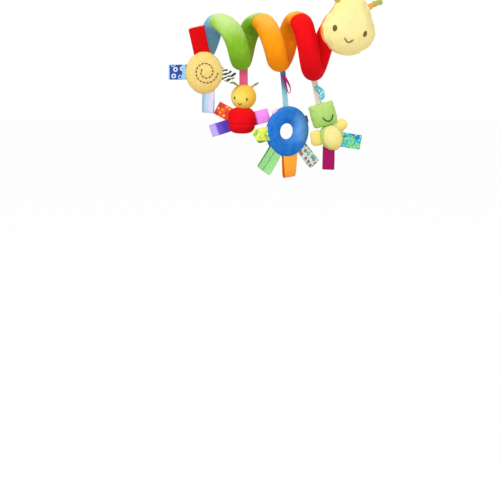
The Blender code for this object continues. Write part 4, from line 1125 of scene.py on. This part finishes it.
high = head["feelerHeight"]
feelerX = sqrt(1 - high ** 2) * (1 - head["pinch"] * high) * head["width"]
for side, angle, label, cloth in ((1, 47, "Right", cordHead), (-1, 126, "Left", cordOlive)):
    makeFeeler("headFeeler" + label, "spiral", head, (side * feelerX, high * head["rise"]),
               angle, cloth)
for label, rimAngle, angle in (("Right", 50, 45), ("Left", 116, 138)):
    rimTurn = radians(rimAngle)
    makeFeeler("bugFeeler" + label, "bug", bugHead,
               (bugHead["rise"] * cos(rimTurn), bugHead["rise"] * sin(rimTurn)), angle, cordBug)


def eyePatch(name, body, form, x, z, half, rise, material, nodes=(), tilt=0):
    # a domed oval of satin stitch, laid on the cloth and closed at its back
    rings, around = 7, 28
    turned = radians(tilt)
    verts, faces = [], []
    for ringIndex in range(rings + 1):
        share = sin(pi / 2 * ringIndex / rings)
        lift = rise * sqrt(max(1 - share ** 2, 0)) - 0.15
        for step in range(around):
            angle = tau * step / around
            dx, dz = half[0] * share * cos(angle), half[1] * share * sin(angle)
            verts.append(laidOn(form, x + dx * cos(turned) - dz * sin(turned),
                                z + dx * sin(turned) + dz * cos(turned), lift))
            if ringIndex:
                a = (ringIndex - 1) * around + step
                b = (ringIndex - 1) * around + (step + 1) % around
                faces.append((a, a + around, b + around, b))
    last = rings * around
    verts.append(laidOn(form, x, z, -0.5))
    for step in range(around):
        faces.append((last + (step + 1) % around, last + step, len(verts) - 1))
    piece = newPiece(name, verts, faces, [material])
    faceOutward(piece, mergeDistance=0.02)
    piece.data.shade_smooth()
    register(piece, body, "thread", *nodes)


def stitchTree():
    # short rounded stitches along a line, one after another
    tree, names, add, given = startGroup("stitchRow", spacing="Float", length="Float",
                                         radius="Float", thread="Material")
    even = add("GeometryNodeResampleCurve",
               {"Curve": given["Geometry"], "Length": given["spacing"]}, mode="LENGTH")
    turn = add("FunctionNodeAlignRotationToVector",
               {"Vector": add("GeometryNodeInputTangent")}, axis="X")
    half = add("Math", (given["length"], 0.5), operation="MULTIPLY")
    size = add("CombineXYZ", (half, given["radius"], given["radius"]))
    bead = add("GeometryNodeMeshUVSphere", {"Segments": 8, "Rings": 6, "Radius": 1.0})
    rows = add("GeometryNodeInstanceOnPoints",
               {"Points": even, "Instance": bead, "Rotation": turn, "Scale": size})
    endGroup(add, rows, given["thread"])
    return tree, names


def embroider(name, body, form, line, radius, material, sides, ply, lift, *nodes):
    # a raised line of thread through places on a form's cloth
    points = [laidOn(form, x, z, lift) for x, z in line]
    piece = tubeAlong(name, points, [radius] * len(points), material, sides, ply, 0.4)
    register(piece, body, "thread", *nodes)


def smileLine(form, power, steps):
    # from corner to corner, as places on the cloth
    (x, z), half, dip = form["mouthAt"], form["mouthHalf"], form["mouthDip"]
    return [(x + half * share, z - dip * (1 - abs(share) ** power))
            for share in [2 * part - 1 for part in shares(steps)]]


for side, label in ((-1, "Left"), (1, "Right")):
    eyePatch("headEye" + label, "spiral", head,
             side * head["eyeSide"] * head["width"] + head["faceShift"],
             head["eyeHeight"] * head["rise"], head["eyeHalf"], head["eyeRise"], threadDark,
             [nodeName("headEye" + label)], tilt=-6 * side)
embroider("headSmile", "spiral", head, smileLine(head, 2.6, 32), 0.95, threadDark, 10, 0.12,
          thread["lift"], "head_smile")
for side in (-1, 1):
    # a short tick across each end of the smile
    across, up = head["tick"]
    tick = [(head["mouthAt"][0] + side * (head["mouthHalf"] + across * share),
             head["mouthAt"][1] + up * share * abs(share))
            for share in [2 * part - 1 for part in shares(8)]]
    embroider("headSmileTick", "spiral", head, tick, 0.7, threadDark, 10, 0.12, thread["lift"])

snailStitch = []
for share in shares(160):
    angle = radians(snail["stitchStart"]) + tau * snail["stitchTurns"] * share
    reach = snail["stitchReach"][0] + (snail["stitchReach"][1] - snail["stitchReach"][0]) * share
    snailStitch.append(laidOn(snail, reach * cos(angle) + snail["stitchShift"][0],
                              reach * sin(angle) + snail["stitchShift"][1], thread["lift"]))
stitches = throughNodes("snailStitching", curveObject(snailStitch), stitchTree(),
                        spacing=snail["stitchSpacing"] * mm, length=snail["stitchLength"] * mm,
                        radius=snail["stitchRadius"] * mm, thread=threadBrown)
register(stitches, "snail", "thread", "snail_stitching")

for label, x, z, half in bugHead["eyes"]:
    eyePatch("bugEye" + label, "bug", bugHead, x, z, half, bugHead["eyeRise"], threadMoss)
embroider("bugSmile", "bug", bugHead, smileLine(bugHead, 2, 16), 0.65, threadBrown, 8, 0.1, 0.2)
embroider("frogSmile", "frog", frogHead, smileLine(frogHead, 2.3, 32), 1.1, threadForest, 8, 0.1,
          thread["lift"])
print("faces embroidered")


# inside: the rattle and the squeaker
insides = {
    # material, its two tones, its roughness and the solids that it covers
    "mouldedCapsule": ("#e6e6e2", "#f2f2ee", 0.35,
                       "rattle_capsule_upper", "rattle_capsule_lower"),
    "mouldedBead": ("#3c7fd0", "#4b8edd", 0.28,
                    "rattle_bead_1", "rattle_bead_2", "rattle_bead_3"),
    "mouldedSqueaker": ("#dcdcd6", "#e8e8e4", 0.45, "frog_squeaker"),
}
for plasticName, (dark, pale, rough, *nodes) in insides.items():
    plastic = mouldedPlastic(plasticName, dark, pale, rough)
    for node in nodes:
        bpy.data.objects[node].data.materials.clear()
        bpy.data.objects[node].data.materials.append(plastic)


# floor, light and camera
studio = {
    "floor": -760, "half": 6000, "world": 0.62,
    "aim": (-31.7, 0, -345.6), "distance": 2093, "pitch": 12, "lens": 90,
    # place in m, size in m, power in W and what it points at in m
    "lights": {"keyLight": ((-0.9, -1.5, 1.5), 1.3, 34, (0, 0, -0.05)),
               "fillLight": ((1.6, -1.6, 0.2), 1.6, 12, (0, 0, -0.1)),
               "backLight": ((0.3, 1.5, 1.3), 1.2, 14, (0, 0, -0.05))},
}


def whiteForCamera(add):
    # 1 for the camera and in reflections, and 0 for the light that falls on the toy
    path = add("LightPath").node.outputs
    seen = add("Math", (path["Is Camera Ray"], path["Is Glossy Ray"]), operation="MAXIMUM")
    return add("Math", (seen, path["Is Transmission Ray"]), operation="MAXIMUM")


def makeStudio():
    scene = bpy.context.scene
    scene.world = bpy.data.worlds.new("studioWorld")
    scene.world.use_nodes = True
    tree = scene.world.node_tree
    add = partial(addNode, tree)
    ground = tree.nodes["Background"]
    feed(ground, {"Color": "#ffffff", "Strength": studio["world"]})
    white = add("Background", {"Color": "#ffffff", "Strength": 1.0})
    feed(tree.nodes["World Output"], {
        "Surface": add("MixShader", (whiteForCamera(add), ground.outputs[0], white))})
    half, z = studio["half"], studio["floor"]
    corners = ((-half, -half, z), (half, -half, z), (half, half, z), (-half, half, z))
    material, shader, add = startMaterial("paperSweep")
    feed(shader, {"Base Color": "#f4f4f2", "Roughness": 0.9, "Specular IOR Level": 0.1})
    pale = add("Emission", {"Color": "#ffffff", "Strength": 1.0})
    part = add("Math", (whiteForCamera(add), 0.97), operation="MULTIPLY")
    feed(material.node_tree.nodes["Material Output"], {
        "Surface": add("MixShader", (part, shader.outputs[0], pale))})
    floor = newPiece("studioFloor", [Vector(p) * mm for p in corners], [(0, 1, 2, 3)],
                     [material])
    for name, (place, size, power, aim) in studio["lights"].items():
        light = bpy.data.lights.new(name, "AREA")
        light.size, light.energy = size, power
        lamp = addObject(name, light)
        lamp.location = place
        way = Vector(aim) - Vector(place)
        lamp.rotation_euler = way.to_track_quat("-Z", "Y").to_euler()
    camera = addObject("camera", bpy.data.cameras.new("camera"))
    camera.data.lens = studio["lens"]
    pitch = radians(studio["pitch"])
    back = Vector((0, -cos(pitch), sin(pitch)))
    camera.location = (Vector(studio["aim"]) + back * studio["distance"]) * mm
    camera.rotation_euler = (pi / 2 - pitch, 0, 0)
    scene.camera = camera
    scene.view_settings.view_transform = "Standard"


makeStudio()
print("studio ready")
